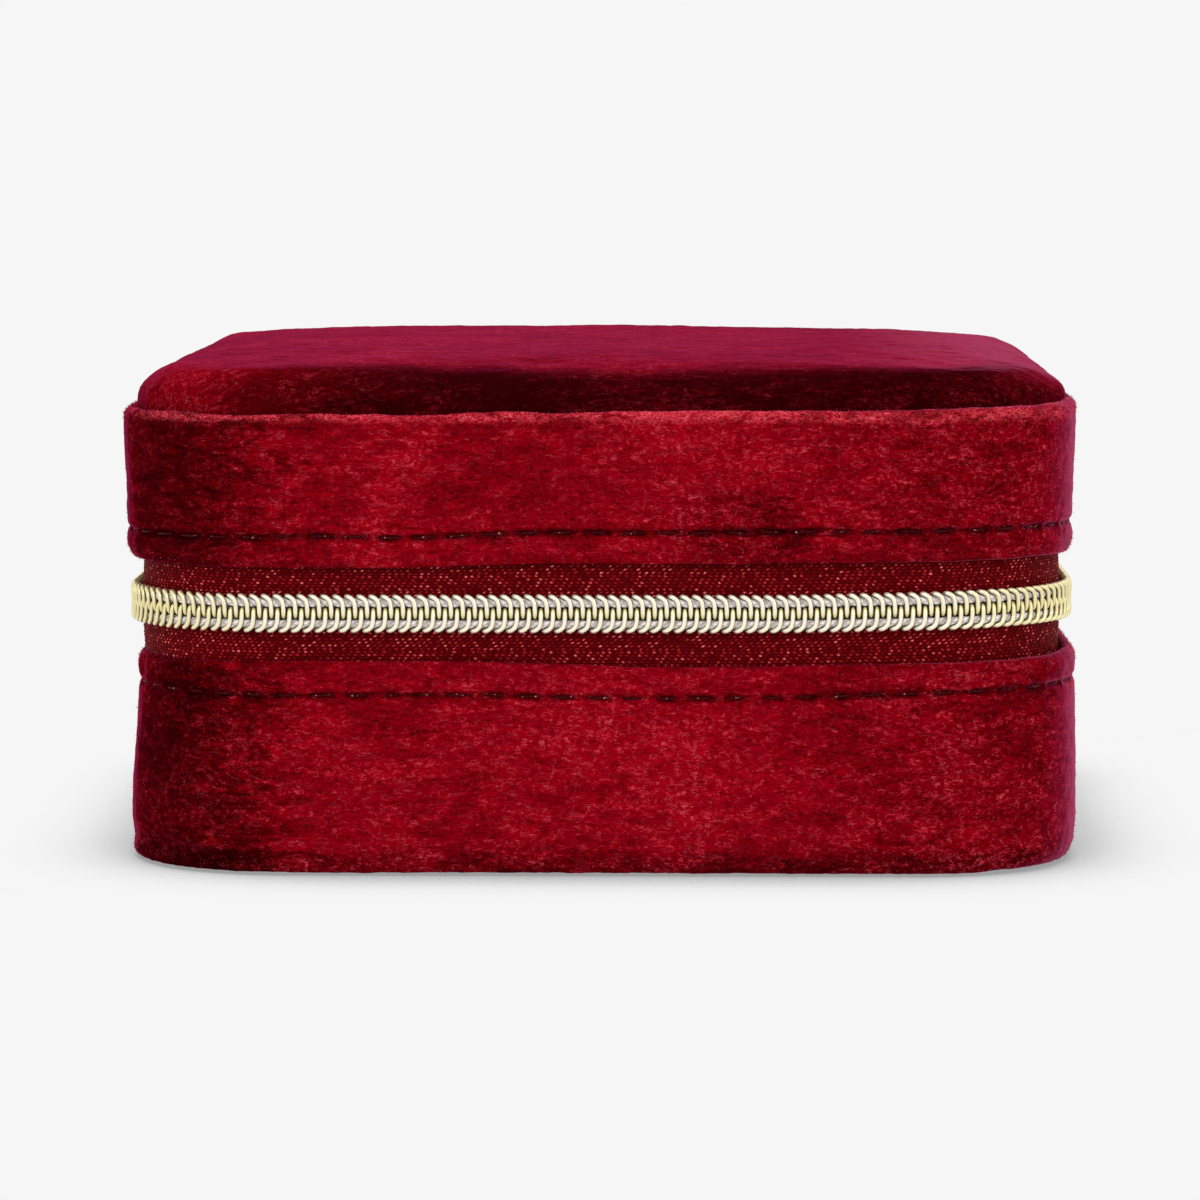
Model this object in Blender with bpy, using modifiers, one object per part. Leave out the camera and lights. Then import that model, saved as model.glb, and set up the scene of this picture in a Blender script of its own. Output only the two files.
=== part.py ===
"""Zip-around travel jewelry case: a square hard-sided clamshell wrapped in velvet.

Metres, +Z up; the numbers below are millimetres. Origin: centre of the
footprint, on the face it stands on. Front is -Y, right is +X, and the fabric
hinge is along the back (+Y). The case is built closed.

Every ring-shaped layer (velvet, foam, tape, coil, shell, lining) follows the
same rounded square, the guide. One number, the outward offset u from it, says
where a layer sits. Ring sections are tables of (u, z).
"""
import math

import bmesh
import bpy
from mathutils import Vector

MM = 0.001
QUARTER = math.pi / 2

# ---- driving dimensions -----------------------------------------------------
HALF = 50.0            # half side of the guide square
CORNER_R = 15.5        # its corner radius
CORNER_STEPS = 6       # straight pieces per quarter turn
Z_ZIP = 29.0           # the plane the two halves part on

# outward offsets of the layers
U_VELVET_IN = 1.5
U_PANEL_VELVET = 1.2   # edge of the bottom and top velvet
U_FOAM_IN, U_FOAM = -0.4, 1.2
U_TAPE_IN, U_TAPE = 0.6, 1.1
U_SHELL = -0.7         # outer face of the board shell
U_LINING_IN, U_LINING = -3.4, -2.6

# shells
SHELL_T = 1.6
SHELL_EDGE = 1.6       # bevel round the closed face
SHELL_RIM = 1.0        # from the zip plane to each shell's rim
BASE_SHELL_Z, LID_SHELL_Z = 2.9, 51.0   # outer faces of the closed sides

# velvet
BOTTOM_T = 0.9
HEM_LO, HEM_HI = 23.6, 34.4             # velvet edges beside the zip
STITCH_LO, STITCH_HI = 19.9, 37.7       # topstitching heights
STITCH_R = 0.14
Z_RIM = 51.6           # top seam of the lid

# lining
RIM_GAP = 0.2          # half the gap between the two linings at the zip plane
LIP_REACH = 0.8        # from the zip plane to the far side of the lining's lip
LAY_GAP = 0.2          # gap between stacked layers
FLOOR_LINING_T = 1.0
FLOOR_LINING_Z = BASE_SHELL_Z + SHELL_T + LAY_GAP
FLOOR_Z = FLOOR_LINING_Z + FLOOR_LINING_T + LAY_GAP   # fittings stand here
LID_LINING_TOP = 45.7
PANEL_LO, PANEL_HI = 46.1, 49.1         # padded panel inside the lid


# ---- scene and materials ----------------------------------------------------
for old in list(bpy.data.objects):
    bpy.data.objects.remove(old, do_unlink=True)

CASE = bpy.data.collections.new("travel_jewelry_case")
HELPERS = bpy.data.collections.new("profiles_and_cutters")
bpy.context.scene.collection.children.link(CASE)
bpy.context.scene.collection.children.link(HELPERS)


def material(name, colour, roughness, metallic=0.0):
    mat = bpy.data.materials.new(name)
    mat.use_nodes = True
    bsdf = mat.node_tree.nodes["Principled BSDF"]
    bsdf.inputs["Base Color"].default_value = (*colour, 1.0)
    bsdf.inputs["Roughness"].default_value = roughness
    bsdf.inputs["Metallic"].default_value = metallic
    mat.diffuse_color = (*colour, 1.0)
    return mat


VELVET = material("crimson_velvet", colour=(0.33, 0.004, 0.016), roughness=0.85)
TAPE = material("crimson_tape", colour=(0.20, 0.004, 0.008), roughness=0.6)
GOLD = material("pale_gold", colour=(0.86, 0.76, 0.48), roughness=0.25, metallic=1.0)
COIL = material("gold_film_coil", colour=(0.88, 0.82, 0.60), roughness=0.35, metallic=0.8)
THREAD = material("crimson_thread", colour=(0.30, 0.01, 0.02), roughness=0.5)
CORD = material("white_cord", colour=(0.72, 0.64, 0.62), roughness=0.8)
BOARD = material("grey_board", colour=(0.45, 0.42, 0.38), roughness=0.9)
FOAM = material("white_foam", colour=(0.85, 0.83, 0.78), roughness=0.95)
LINING = material("blush_suede", colour=(0.62, 0.34, 0.32), roughness=0.9)
MIRROR = material("mirror_glass", colour=(0.9, 0.92, 0.92), roughness=0.03, metallic=1.0)
SATIN = material("pocket_satin", colour=(0.50, 0.22, 0.22), roughness=0.6)


def new_object(name, data, mat=None, helper=False):
    """Makes an object in its collection, with its one material."""
    obj = bpy.data.objects.new(name, data)
    (HELPERS if helper else CASE).objects.link(obj)
    if helper:
        obj.hide_render = True
        obj.display_type = "WIRE"
    if mat is not None:
        data.materials.clear()
        data.materials.append(mat)
    return obj


# ---- outlines ---------------------------------------------------------------
def arc(cx, cy, radius, start, end, steps):
    angles = [start + (end - start) * i / steps for i in range(steps + 1)]
    return [(cx + radius * math.cos(a), cy + radius * math.sin(a)) for a in angles]


def rounded_rect(half_x, half_y, radius, cy=0.0):
    """Counter-clockwise outline starting on the front right corner."""
    points = []
    for turn, (side_x, side_y) in enumerate(((1, -1), (1, 1), (-1, 1), (-1, -1))):
        points += arc(side_x * (half_x - radius), cy + side_y * (half_y - radius), radius,
                      (turn - 1) * QUARTER, turn * QUARTER, CORNER_STEPS)
    return points


def guide_outline(u):
    """The guide square offset outwards by u."""
    return rounded_rect(HALF + u, HALF + u, CORNER_R + u)


def reflected(points):
    """The points mirrored in the outline's x axis, in reverse order."""
    return [(x, -y) for x, y in reversed(points)]


def span(centre, half):
    return centre - half, centre + half


GUIDE = guide_outline(0.0)

# The zip's run: from the back's left end, round the front, to its right end.
TAPE_END_X = 32.0
TWO_CORNERS = 2 * (CORNER_STEPS + 1)    # points on the guide's right-hand side
ZIP_RUN = [(-TAPE_END_X, HALF), *GUIDE[TWO_CORNERS:], *GUIDE[:TWO_CORNERS], (TAPE_END_X, HALF)]


# ---- curve pieces -----------------------------------------------------------
def add_spline(data, points, cyclic):
    spline = data.splines.new("POLY")
    spline.points.add(len(points) - 1)
    for spline_point, point in zip(spline.points, points):
        x, y, z = (*point, 0.0)[:3]
        spline_point.co = (x * MM, y * MM, z * MM, 1.0)
    spline.use_cyclic_u = cyclic


def poly_curve(name, points, cyclic, dimensions="2D"):
    data = bpy.data.curves.new(name, "CURVE")
    data.dimensions = dimensions
    add_spline(data, points, cyclic)
    return data


def realised(obj):
    """Turns a curve into a mesh object of the same name, with its caps welded."""
    bpy.context.view_layer.update()
    graph = bpy.context.evaluated_depsgraph_get()
    data = bpy.data.meshes.new_from_object(obj.evaluated_get(graph))
    bm = bmesh.new()
    bm.from_mesh(data)
    bmesh.ops.remove_doubles(bm, verts=bm.verts, dist=1e-6)
    bmesh.ops.recalc_face_normals(bm, faces=bm.faces)
    bm.to_mesh(data)
    bm.free()
    name, world = obj.name, obj.matrix_world.copy()
    mat, helper = obj.data.materials[0], obj.hide_render
    bpy.data.objects.remove(obj, do_unlink=True)
    data.name = name
    made = new_object(name, data, mat, helper)
    made.matrix_world = world
    return made


def swept(name, profile, mat, closed=True):
    """Sweeps a (u, z) section round the whole guide, or along the zip's run."""
    area = sum(a[0] * b[1] - b[0] * a[1] for a, b in zip(profile, profile[1:] + profile[:1]))
    if area < 0:
        profile = profile[::-1]
    # outward is -X of the section on the closed ring, and +X on the open run
    side = -1 if closed else 1
    section = poly_curve(name + "_profile", [(side * u, z) for u, z in profile], True)
    section.fill_mode = "NONE"
    data = poly_curve(name, GUIDE if closed else ZIP_RUN, closed)
    data.fill_mode = "NONE"
    data.bevel_mode = "OBJECT"
    data.bevel_object = new_object(name + "_profile", section, helper=True)
    data.use_fill_caps = not closed
    obj = new_object(name, data, mat)
    return obj if closed else realised(obj)


def filled(name, outline, thickness, mat, helper=False, hole=None):
    """A filled outline in local XY, with its thickness centred on local Z."""
    data = poly_curve(name, outline, True)
    if hole:
        add_spline(data, hole, True)
    data.fill_mode = "BOTH"
    data.extrude = thickness / 2 * MM
    return new_object(name, data, mat, helper)


def plate(name, outline, z0, z1, mat, helper=False):
    """A flat horizontal piece."""
    obj = filled(name, outline, z1 - z0, mat, helper)
    obj.location.z = (z0 + z1) / 2 * MM
    return obj


def stand(obj, x, y, z):
    """Places a piece so its outline's x runs along Y, its y up Z, its thickness along X."""
    obj.rotation_euler = (QUARTER, 0, QUARTER)
    obj.location = (x * MM, y * MM, z * MM)
    return obj


# ---- mesh pieces ------------------------------------------------------------
def mesh_object(name, bm, mat, helper=False):
    data = bpy.data.meshes.new(name)
    bm.to_mesh(data)
    bm.free()
    return new_object(name, data, mat, helper)


def scale_to_metres(bm):
    for vert in bm.verts:
        vert.co *= MM


def box(name, x_range, y_range, z_range, mat, bevel=0.0, helper=False):
    ranges = (x_range, y_range, z_range)
    size = [high - low for low, high in ranges]
    bm = bmesh.new()
    bmesh.ops.create_cube(bm, size=1.0)
    for vert in bm.verts:
        vert.co = Vector([c * s for c, s in zip(vert.co, size)]) * MM
    obj = mesh_object(name, bm, mat, helper)
    obj.location = Vector([(low + high) / 2 for low, high in ranges]) * MM
    if bevel:
        mod = obj.modifiers.new("rounded_edges", "BEVEL")
        mod.width = bevel * MM
        mod.segments = 2
        mod.limit_method = "ANGLE"
    return obj


def cylinder(name, radius, z0, z1, x, y, mat, sides=24):
    bm = bmesh.new()
    bmesh.ops.create_cone(bm, cap_ends=True, segments=sides, radius1=radius * MM,
                          radius2=radius * MM, depth=(z1 - z0) * MM)
    obj = mesh_object(name, bm, mat)
    obj.location = (x * MM, y * MM, (z0 + z1) / 2 * MM)
    obj.data.shade_smooth()
    obj.data.set_sharp_from_angle(angle=math.radians(35))


def rounded_block(u, z0, z1):
    """A guide-shaped block, still in millimetres: a cube with its upright edges rounded."""
    bm = bmesh.new()
    half = HALF + u
    bmesh.ops.create_cube(bm, size=2.0)
    for vert in bm.verts:
        vert.co = Vector((vert.co.x * half, vert.co.y * half, z0 if vert.co.z < 0 else z1))
    upright = [e for e in bm.edges if abs(e.verts[0].co.z - e.verts[1].co.z) > 1e-6]
    bmesh.ops.bevel(bm, geom=upright, offset=CORNER_R + u, segments=CORNER_STEPS,
                    affect="EDGES", profile=0.5)
    bmesh.ops.recalc_face_normals(bm, faces=bm.faces)
    return bm


def thicken(obj, name, thickness, offset=-1.0):
    mod = obj.modifiers.new(name, "SOLIDIFY")
    mod.thickness = thickness * MM
    mod.offset = offset
    return mod


def tray(name, z_closed, z_open):
    """A board shell: a rounded block with one face taken off, thickened inwards."""
    bm = rounded_block(U_SHELL, *sorted((z_closed, z_open)))
    open_face = [f for f in bm.faces
                 if len(f.verts) > 4 and abs(f.calc_center_median().z - z_open) < 1e-4]
    bmesh.ops.delete(bm, geom=open_face, context="FACES_ONLY")
    closed_edge = [e for e in bm.edges if len(e.link_faces) == 2
                   and all(abs(v.co.z - z_closed) < 1e-4 for v in e.verts)]
    bmesh.ops.bevel(bm, geom=closed_edge, offset=SHELL_EDGE, segments=2,
                    affect="EDGES", profile=0.5)
    scale_to_metres(bm)
    obj = mesh_object(name, bm, BOARD)
    thicken(obj, "board_thickness", SHELL_T).use_even_offset = True


def crowned(name, u_edge, z_edge, rises, mat, sheet=None, z_flat=None):
    """A crowned pad: the outline stepped by rises, a list of (inward, upward).

    Give either sheet, the thickness of a thin skin, or z_flat, the height of a
    flat underside that closes a solid pad.
    """
    # a skin's block needs some depth, which is deleted again below
    bm = rounded_block(u_edge, z_edge - 1.0 if z_flat is None else z_flat, z_edge)
    top = [f for f in bm.faces
           if len(f.verts) > 4 and f.calc_center_median().z > z_edge - 1e-4]
    below = [f for f in bm.faces if f not in top]
    for inward, upward in rises:
        bmesh.ops.inset_region(bm, faces=top, thickness=inward, depth=0.0,
                               use_even_offset=True)
        for vert in {v for f in top for v in f.verts}:
            vert.co.z += upward
    if z_flat is None:
        bmesh.ops.delete(bm, geom=below, context="FACES")
    scale_to_metres(bm)
    obj = mesh_object(name, bm, mat)
    if sheet:
        thicken(obj, "cloth_thickness", sheet).use_even_offset = True


def boolean(obj, tool, prefix, operation):
    mod = obj.modifiers.new(prefix + tool.name, "BOOLEAN")
    mod.operation = operation
    mod.object = tool


# ---- layers found in both halves ----------------------------------------------
def stitch_thread(name, u, z):
    """A thread with a four-sided section."""
    section = [(u + STITCH_R * math.cos(i * QUARTER), z + STITCH_R * math.sin(i * QUARTER))
               for i in range(4)]
    swept(name, section, THREAD)


def wall_foam(name, z0, z1):
    swept(name, [(U_FOAM_IN, z0), (U_FOAM, z0), (U_FOAM, z1), (U_FOAM_IN, z1)], FOAM)


def wall_lining(name, z_end, side):
    """Lining with a lip over the shell's rim; side is -1 for the base, +1 for the lid."""
    z_face = Z_ZIP + side * RIM_GAP
    z_lip = Z_ZIP + side * LIP_REACH
    swept(name, [(U_LINING_IN, z_end), (U_LINING_IN, z_face), (U_SHELL, z_face),
                 (U_SHELL, z_lip), (U_LINING, z_lip), (U_LINING, z_end)], LINING)


# ---- base: cover, padding, shell, lining --------------------------------------
BASE_VELVET_SECTION = [   # (u, z)
    (U_VELVET_IN, 0.2), (1.95, 0.2), (2.45, 0.8), (2.7, 2.2), (2.75, 5.0), (2.5, 19.4),
    (2.15, STITCH_LO), (2.4, 20.4), (2.45, 21.8), (2.3, 23.1), (1.9, HEM_LO),
    (U_VELVET_IN, HEM_LO),
]
swept("base_side_velvet", BASE_VELVET_SECTION, VELVET)
plate("base_bottom_velvet", guide_outline(U_PANEL_VELVET), 0.0, BOTTOM_T, VELVET)
stitch_thread("base_stitch_thread", u=2.5, z=STITCH_LO)
plate("base_floor_foam", guide_outline(-0.9), 1.2, 2.6, FOAM)
wall_foam("base_wall_foam", 1.3, 14.2)
tray("base_shell", BASE_SHELL_Z, Z_ZIP - SHELL_RIM)
wall_lining("base_lining", FLOOR_Z, side=-1)
plate("base_floor_lining", guide_outline(-3.1), FLOOR_LINING_Z,
      FLOOR_LINING_Z + FLOOR_LINING_T, LINING)

# ---- base: fittings -------------------------------------------------------------
PAD_COUNT, PAD_PITCH, PAD_W = 7, 11.4, 10.6   # ring pads
PAD_X0, PAD_X1, PAD_TOP = 9.2, 45.2, 24.6
PARTITION_X = 7.2      # centre of the fixed partition
DIVIDER_T = 1.8        # thickness of the partition and the dividers
DIVIDER_Y = (-14.0, 14.0)
DIVIDER_BEVEL = 0.5
PARTITION_BACK, PARTITION_TOP, DIVIDER_TOP = 45.5, 25.4, 24.0
FIT_GAP = 0.3
WALL_REACH = HALF + U_LINING_IN - FIT_GAP     # how near the walls the fittings come


def ring_pad(name, y):
    """A foam pad with a rounded top, wrapped in suede: its section runs along X."""
    radius = PAD_W / 2
    z_spring = PAD_TOP - radius
    section = [(radius, FLOOR_Z), (radius, z_spring),
               *arc(0, z_spring, radius, 0, math.pi, 8)[1:-1],
               (-radius, z_spring), (-radius, FLOOR_Z)]
    stand(filled(name, section, PAD_X1 - PAD_X0, LINING), (PAD_X0 + PAD_X1) / 2, y, 0)


def partition_and_dividers():
    """A front-to-back partition, with cross dividers on its left."""
    box("ring_partition", span(PARTITION_X, DIVIDER_T / 2), (-WALL_REACH, PARTITION_BACK),
        (FLOOR_Z, PARTITION_TOP), LINING, bevel=DIVIDER_BEVEL)
    for i, y in enumerate(DIVIDER_Y):
        box(f"divider_{i + 1}", (-WALL_REACH, PARTITION_X - DIVIDER_T / 2 - FIT_GAP),
            span(y, DIVIDER_T / 2), (FLOOR_Z + 0.1, DIVIDER_TOP), LINING,
            bevel=DIVIDER_BEVEL)


partition_and_dividers()
for i in range(PAD_COUNT):
    ring_pad(f"ring_pad_{i + 1}", (i - (PAD_COUNT - 1) / 2) * PAD_PITCH)

# ---- zip --------------------------------------------------------------------------
CHAIN_HALF = 2.14      # half the width of the zip chain
CHAIN_SLOT = 0.5       # half the slot between the coils, where the slider's post runs
U_COIL_IN = U_TAPE + 0.12
U_COIL = U_COIL_IN + 1.3
COIL_Z0, COIL_Z1 = Z_ZIP - CHAIN_HALF, Z_ZIP - CHAIN_SLOT   # lower coil

# sections of the lower half, (u, z)
TAPE_SECTION = [
    (U_TAPE_IN - 0.1, 14.8), (U_TAPE - 0.1, 14.8), (U_TAPE - 0.1, 24.4), (U_TAPE, COIL_Z0),
    (U_TAPE, COIL_Z1), (U_TAPE_IN, COIL_Z1), (U_TAPE_IN - 0.1, 24.4),
]
COIL_SECTION = [          # a channel, open towards the tape
    (U_COIL_IN, COIL_Z0), (U_COIL - 0.35, COIL_Z0), (U_COIL, COIL_Z0 + 0.45),
    (U_COIL, COIL_Z1 - 0.1), (U_COIL - 0.1, COIL_Z1), (U_COIL_IN, COIL_Z1),
    (U_COIL_IN, COIL_Z1 - 0.3), (U_COIL - 0.4, COIL_Z1 - 0.3),
    (U_COIL - 0.4, COIL_Z0 + 0.4), (U_COIL_IN, COIL_Z0 + 0.4),
]
CORD_SECTION = [          # fills the coil's channel
    (U_COIL_IN + 0.1, COIL_Z0 + 0.52), (U_COIL - 0.52, COIL_Z0 + 0.52),
    (U_COIL - 0.52, COIL_Z1 - 0.42), (U_COIL_IN + 0.1, COIL_Z1 - 0.42),
]
for part, section, mat in (("tape", TAPE_SECTION, TAPE), ("coil", COIL_SECTION, COIL),
                           ("cord", CORD_SECTION, CORD)):
    swept(f"zip_{part}_lower", section, mat, closed=False)
    swept(f"zip_{part}_upper", [(u, 2 * Z_ZIP - z) for u, z in section], mat, closed=False)

# ---- slider and pull (right-hand side, near the hinge, zip closed) ------------------
SLIDER_Y = 28.0
SLIDER_LEN, SLIDER_W = 8.6, 6.2
PLATE_X0, PLATE_X1 = HALF + U_COIL + 0.2, HALF + U_COIL + 1.0   # outer plate
PULL_LEN, PULL_T = 19.0, 0.84
PULL_END_R = 2.9
PULL_X = PLATE_X1 + 0.7

# blocks joined to the slider: name, x range, y range from SLIDER_Y, z range from Z_ZIP
SLIDER_BLOCKS = [
    ("slider_post", (HALF, PLATE_X0 + 0.4), (0.6, 3.0), (-0.2, 0.2)),
    ("slider_flange", (HALF + U_COIL_IN + 0.1, PLATE_X0 + 0.4), (-3.9, 3.3), (-2.85, -2.4)),
    ("slider_crown_front", (PLATE_X1 - 0.3, PLATE_X1 + 1.6), (-3.1, -2.4), (-0.8, 0.8)),
    ("slider_crown_back", (PLATE_X1 - 0.3, PLATE_X1 + 1.6), (2.4, 3.1), (-0.8, 0.8)),
    ("slider_crown_bar", (PLATE_X1 + 1.4, PLATE_X1 + 2.1), (-3.0, 3.0), (-0.79, 0.79)),
]


def slider_plate(name, x0, x1, narrow, helper=False):
    """Plate with a notched wide end towards the hinge; narrow is its other half width."""
    end, wide = SLIDER_LEN / 2, SLIDER_W / 2
    lower = [(-end, -narrow + 0.6), (-end + 0.6, -narrow), (-1.0, -narrow),
             (end - 2.6, -wide), (end - 0.8, -wide), (end, -wide + 0.8),
             (end, -0.5), (end - 1.1, -0.2)]
    obj = filled(name, lower + reflected(lower), x1 - x0, GOLD, helper)
    return realised(stand(obj, (x0 + x1) / 2, SLIDER_Y, Z_ZIP))


def zip_slider():
    slider = slider_plate("slider_body", PLATE_X0, PLATE_X1, narrow=2.5)
    tools = [slider_plate("slider_inner_plate", HALF - 0.35, HALF + 0.25, narrow=2.4,
                          helper=True)]
    for name, x_range, (y0, y1), (z0, z1) in SLIDER_BLOCKS:
        tools.append(box(name, x_range, (SLIDER_Y + y0, SLIDER_Y + y1),
                         (Z_ZIP + z0, Z_ZIP + z1), GOLD, helper=True))
    for tool in tools:
        boolean(slider, tool, "join_", "UNION")


def zip_pull():
    """Flat pull towards the hinge, with a window that links it to the slider's crown."""
    lower = [(-0.4, -2.0), (3.4, -2.0), (5.4, -1.3), (7.4, -1.6), (PULL_LEN - 3.1, -PULL_END_R)]
    sweep = QUARTER * 0.86
    round_end = arc(PULL_LEN - PULL_END_R, 0, PULL_END_R, -sweep, sweep, 8)
    window = [(0.4, -1.2), (4.0, -1.2), (4.4, -0.7)]
    obj = filled("zip_pull", lower + round_end + reflected(lower), PULL_T, GOLD,
                 hole=window + reflected(window))
    stand(obj, PULL_X, SLIDER_Y, Z_ZIP)


zip_slider()
zip_pull()

# ---- fabric hinge on the back: each half of the web rides with its own shell ---------
HINGE_GAP = 0.15       # half the gap between the lower and upper pieces
WEB_X, WEB_REACH = TAPE_END_X - 0.6, 5.0              # half width, reach from the zip plane
HINGE_LINING_X, HINGE_LINING_REACH = 30.0, 7.0
for half, side in (("lower", -1), ("upper", 1)):
    z_gap = Z_ZIP + side * HINGE_GAP
    box(f"hinge_web_{half}", (-WEB_X, WEB_X), (HALF + 1.3, HALF + 2.1),
        sorted((z_gap, Z_ZIP + side * WEB_REACH)), VELVET)
    box(f"hinge_lining_{half}", (-HINGE_LINING_X, HINGE_LINING_X), (HALF - 4.2, HALF - 3.7),
        sorted((z_gap, Z_ZIP + side * HINGE_LINING_REACH)), LINING)

# ---- lid: cover, padding, shell, lining ------------------------------------------------
LID_VELVET_SECTION = [    # (u, z)
    (U_VELVET_IN, HEM_HI), (1.9, HEM_HI), (2.2, 34.9), (2.3, 36.4), (2.25, 37.2),
    (1.95, STITCH_HI), (2.3, 38.2), (2.5, 42.5), (2.65, 49.2), (2.75, 50.8), (2.5, 51.4),
    (1.95, Z_RIM), (U_VELVET_IN, 51.3),
]
# steps of the padded top, (inward, upward)
TOP_VELVET_RISES = [(1.3, 1.3), (2.2, 1.2), (3.6, 0.8), (5.2, 0.5), (3.4, 0.2)]
TOP_FOAM_RISES = [(1.0, 0.5), (2.0, 1.0), (3.4, 0.7), (4.4, 0.4)]

swept("lid_side_velvet", LID_VELVET_SECTION, VELVET)
stitch_thread("lid_stitch_thread", u=2.4, z=STITCH_HI)
crowned("lid_top_velvet", U_PANEL_VELVET, Z_RIM + 0.2, TOP_VELVET_RISES, VELVET, sheet=0.8)
crowned("lid_top_foam", -0.6, 52.0, TOP_FOAM_RISES, FOAM, z_flat=51.3)
wall_foam("lid_wall_foam", 43.8, 50.4)
tray("lid_shell", LID_SHELL_Z, Z_ZIP + SHELL_RIM)
wall_lining("lid_lining", LID_LINING_TOP, side=1)

# ---- lid: panel and mirror ---------------------------------------------------------------
WINDOW_W, WINDOW_D, WINDOW_R, MIRROR_Y = 76.0, 38.0, 5.0, -3.0   # visible part of the mirror
RECESS_MARGIN, RECESS_R, RECESS_Z = 3.0, 7.0, 47.5
MIRROR_GAP = 0.3       # between the mirror's edge and the recess
MIRROR_Z0, MIRROR_Z1 = 47.7, 48.9


def mirror_outline(margin, radius):
    return rounded_rect(WINDOW_W / 2 + margin, WINDOW_D / 2 + margin, radius, cy=MIRROR_Y)


def lid_panel():
    """Panel with a window through it, and a wider recess above for the mirror."""
    panel = realised(plate("lid_panel", guide_outline(-3.0), PANEL_LO, PANEL_HI, LINING))
    for name, outline, z0 in (
        ("mirror_window_cutter", mirror_outline(0.0, WINDOW_R), PANEL_LO - 1),
        ("mirror_recess_cutter", mirror_outline(RECESS_MARGIN, RECESS_R), RECESS_Z),
    ):
        cutter = realised(plate(name, outline, z0, PANEL_HI + 1, LINING, helper=True))
        boolean(panel, cutter, "cut_", "DIFFERENCE")


lid_panel()
plate("mirror", mirror_outline(RECESS_MARGIN - MIRROR_GAP, RECESS_R - MIRROR_GAP),
      MIRROR_Z0, MIRROR_Z1, MIRROR)

# ---- lid: necklace hooks (strap, snap cap, stud, anchor) -----------------------------------
HOOK_X = (-24.0, 0.0, 24.0)
HOOK_PIVOT_Y, HOOK_LEN = -42.4, 14.6
SNAP_Y = HOOK_PIVOT_Y + 11.0
HOOK_TOP = PANEL_LO - LAY_GAP
HOOK_BEVEL = 0.3


def necklace_hook(number, x):
    box(f"hook_anchor_{number}", span(x, 4.2), (-45.6, -43.2), (43.7, HOOK_TOP), LINING,
        bevel=HOOK_BEVEL)
    box(f"hook_strap_{number}", span(x, 3.5), (HOOK_PIVOT_Y + 0.1, HOOK_PIVOT_Y + HOOK_LEN),
        (43.8, 44.8), LINING, bevel=HOOK_BEVEL)
    cylinder(f"snap_cap_{number}", 2.7, 43.0, 43.65, x, SNAP_Y, GOLD)
    cylinder(f"snap_stud_{number}", 1.9, 45.0, HOOK_TOP, x, SNAP_Y, GOLD, sides=16)


for i, x in enumerate(HOOK_X):
    necklace_hook(i + 1, x)

# ---- lid: gathered pocket with an elastic edge -----------------------------------------------
POCKET_X, POCKET_Y0, POCKET_Y1 = 38.0, 20.0, 43.0
POCKET_DROP = 1.1      # sewn edges below the panel
POCKET_BELLY = 3.4     # further sag at the middle of the open edge
POCKET_TAPER = 0.12    # how fast the sides draw in...
TAPER_START = 0.85     # ...beyond this fraction of the depth


def pocket_z(across, back):
    """Sheet height; across runs -1 to 1, back runs 0 at the open edge to 1."""
    belly = (1 - across ** 4) * (1 - back ** 2.2)
    return PANEL_LO - POCKET_DROP - POCKET_BELLY * belly


def pocket():
    """A bellied sheet, open along its front edge, sewn down on its other three sides."""
    bm = bmesh.new()
    bmesh.ops.create_grid(bm, x_segments=12, y_segments=6, size=0.5)
    for vert in bm.verts:
        across, back = vert.co.x * 2, vert.co.y + 0.5
        half_width = POCKET_X - POCKET_TAPER * POCKET_X * max(0.0, back - TAPER_START)
        y = POCKET_Y0 + back * (POCKET_Y1 - POCKET_Y0)
        vert.co = Vector((across * half_width, y, pocket_z(across, back))) * MM
    thicken(mesh_object("necklace_pocket", bm, SATIN), "cloth_thickness", 0.6, offset=0.0)


def pocket_elastic():
    """A round cord just in front of the pocket's open edge."""
    points = [((POCKET_X + 0.6) * across, POCKET_Y0 - 1.0, pocket_z(across, 0.0))
              for across in [i / 8 - 1 for i in range(17)]]
    data = poly_curve("pocket_elastic", points, False, dimensions="3D")
    data.bevel_depth = 0.55 * MM
    data.bevel_resolution = 1
    data.use_fill_caps = True
    new_object("pocket_elastic", data, SATIN)


pocket()
pocket_elastic()
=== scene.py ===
"""A square zipped jewellery case in crimson velvet, closed and standing on z = 0.

+Z is up, the front faces -Y and the fabric hinge is at the back (+Y); left is -X.
The base lies below the zip and the lid above it. Lengths are in mm unless a comment says
otherwise; make_mesh turns them into metres. Most pieces follow a guide line, a rounded
square: 'run' is the length along it, 'off' the distance outwards from it.
"""
import math
from types import SimpleNamespace
import bmesh
import bpy
import numpy as np
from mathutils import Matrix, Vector


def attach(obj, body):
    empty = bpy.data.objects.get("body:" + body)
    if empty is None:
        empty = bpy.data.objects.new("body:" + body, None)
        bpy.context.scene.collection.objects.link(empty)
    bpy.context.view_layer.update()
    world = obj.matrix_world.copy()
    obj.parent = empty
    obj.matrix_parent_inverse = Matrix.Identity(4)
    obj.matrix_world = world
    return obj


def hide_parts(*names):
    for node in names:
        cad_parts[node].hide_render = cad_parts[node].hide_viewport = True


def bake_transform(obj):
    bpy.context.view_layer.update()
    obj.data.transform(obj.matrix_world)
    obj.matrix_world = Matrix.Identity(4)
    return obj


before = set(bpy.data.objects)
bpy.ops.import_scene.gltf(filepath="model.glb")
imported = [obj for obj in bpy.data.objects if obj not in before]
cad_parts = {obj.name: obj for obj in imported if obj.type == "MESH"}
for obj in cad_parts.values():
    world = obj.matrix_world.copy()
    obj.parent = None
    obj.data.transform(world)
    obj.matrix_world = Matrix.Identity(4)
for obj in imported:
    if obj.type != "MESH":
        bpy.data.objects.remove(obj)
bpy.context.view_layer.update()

MM = 0.001
FINE = 1.0      # share of the full mesh density

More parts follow.
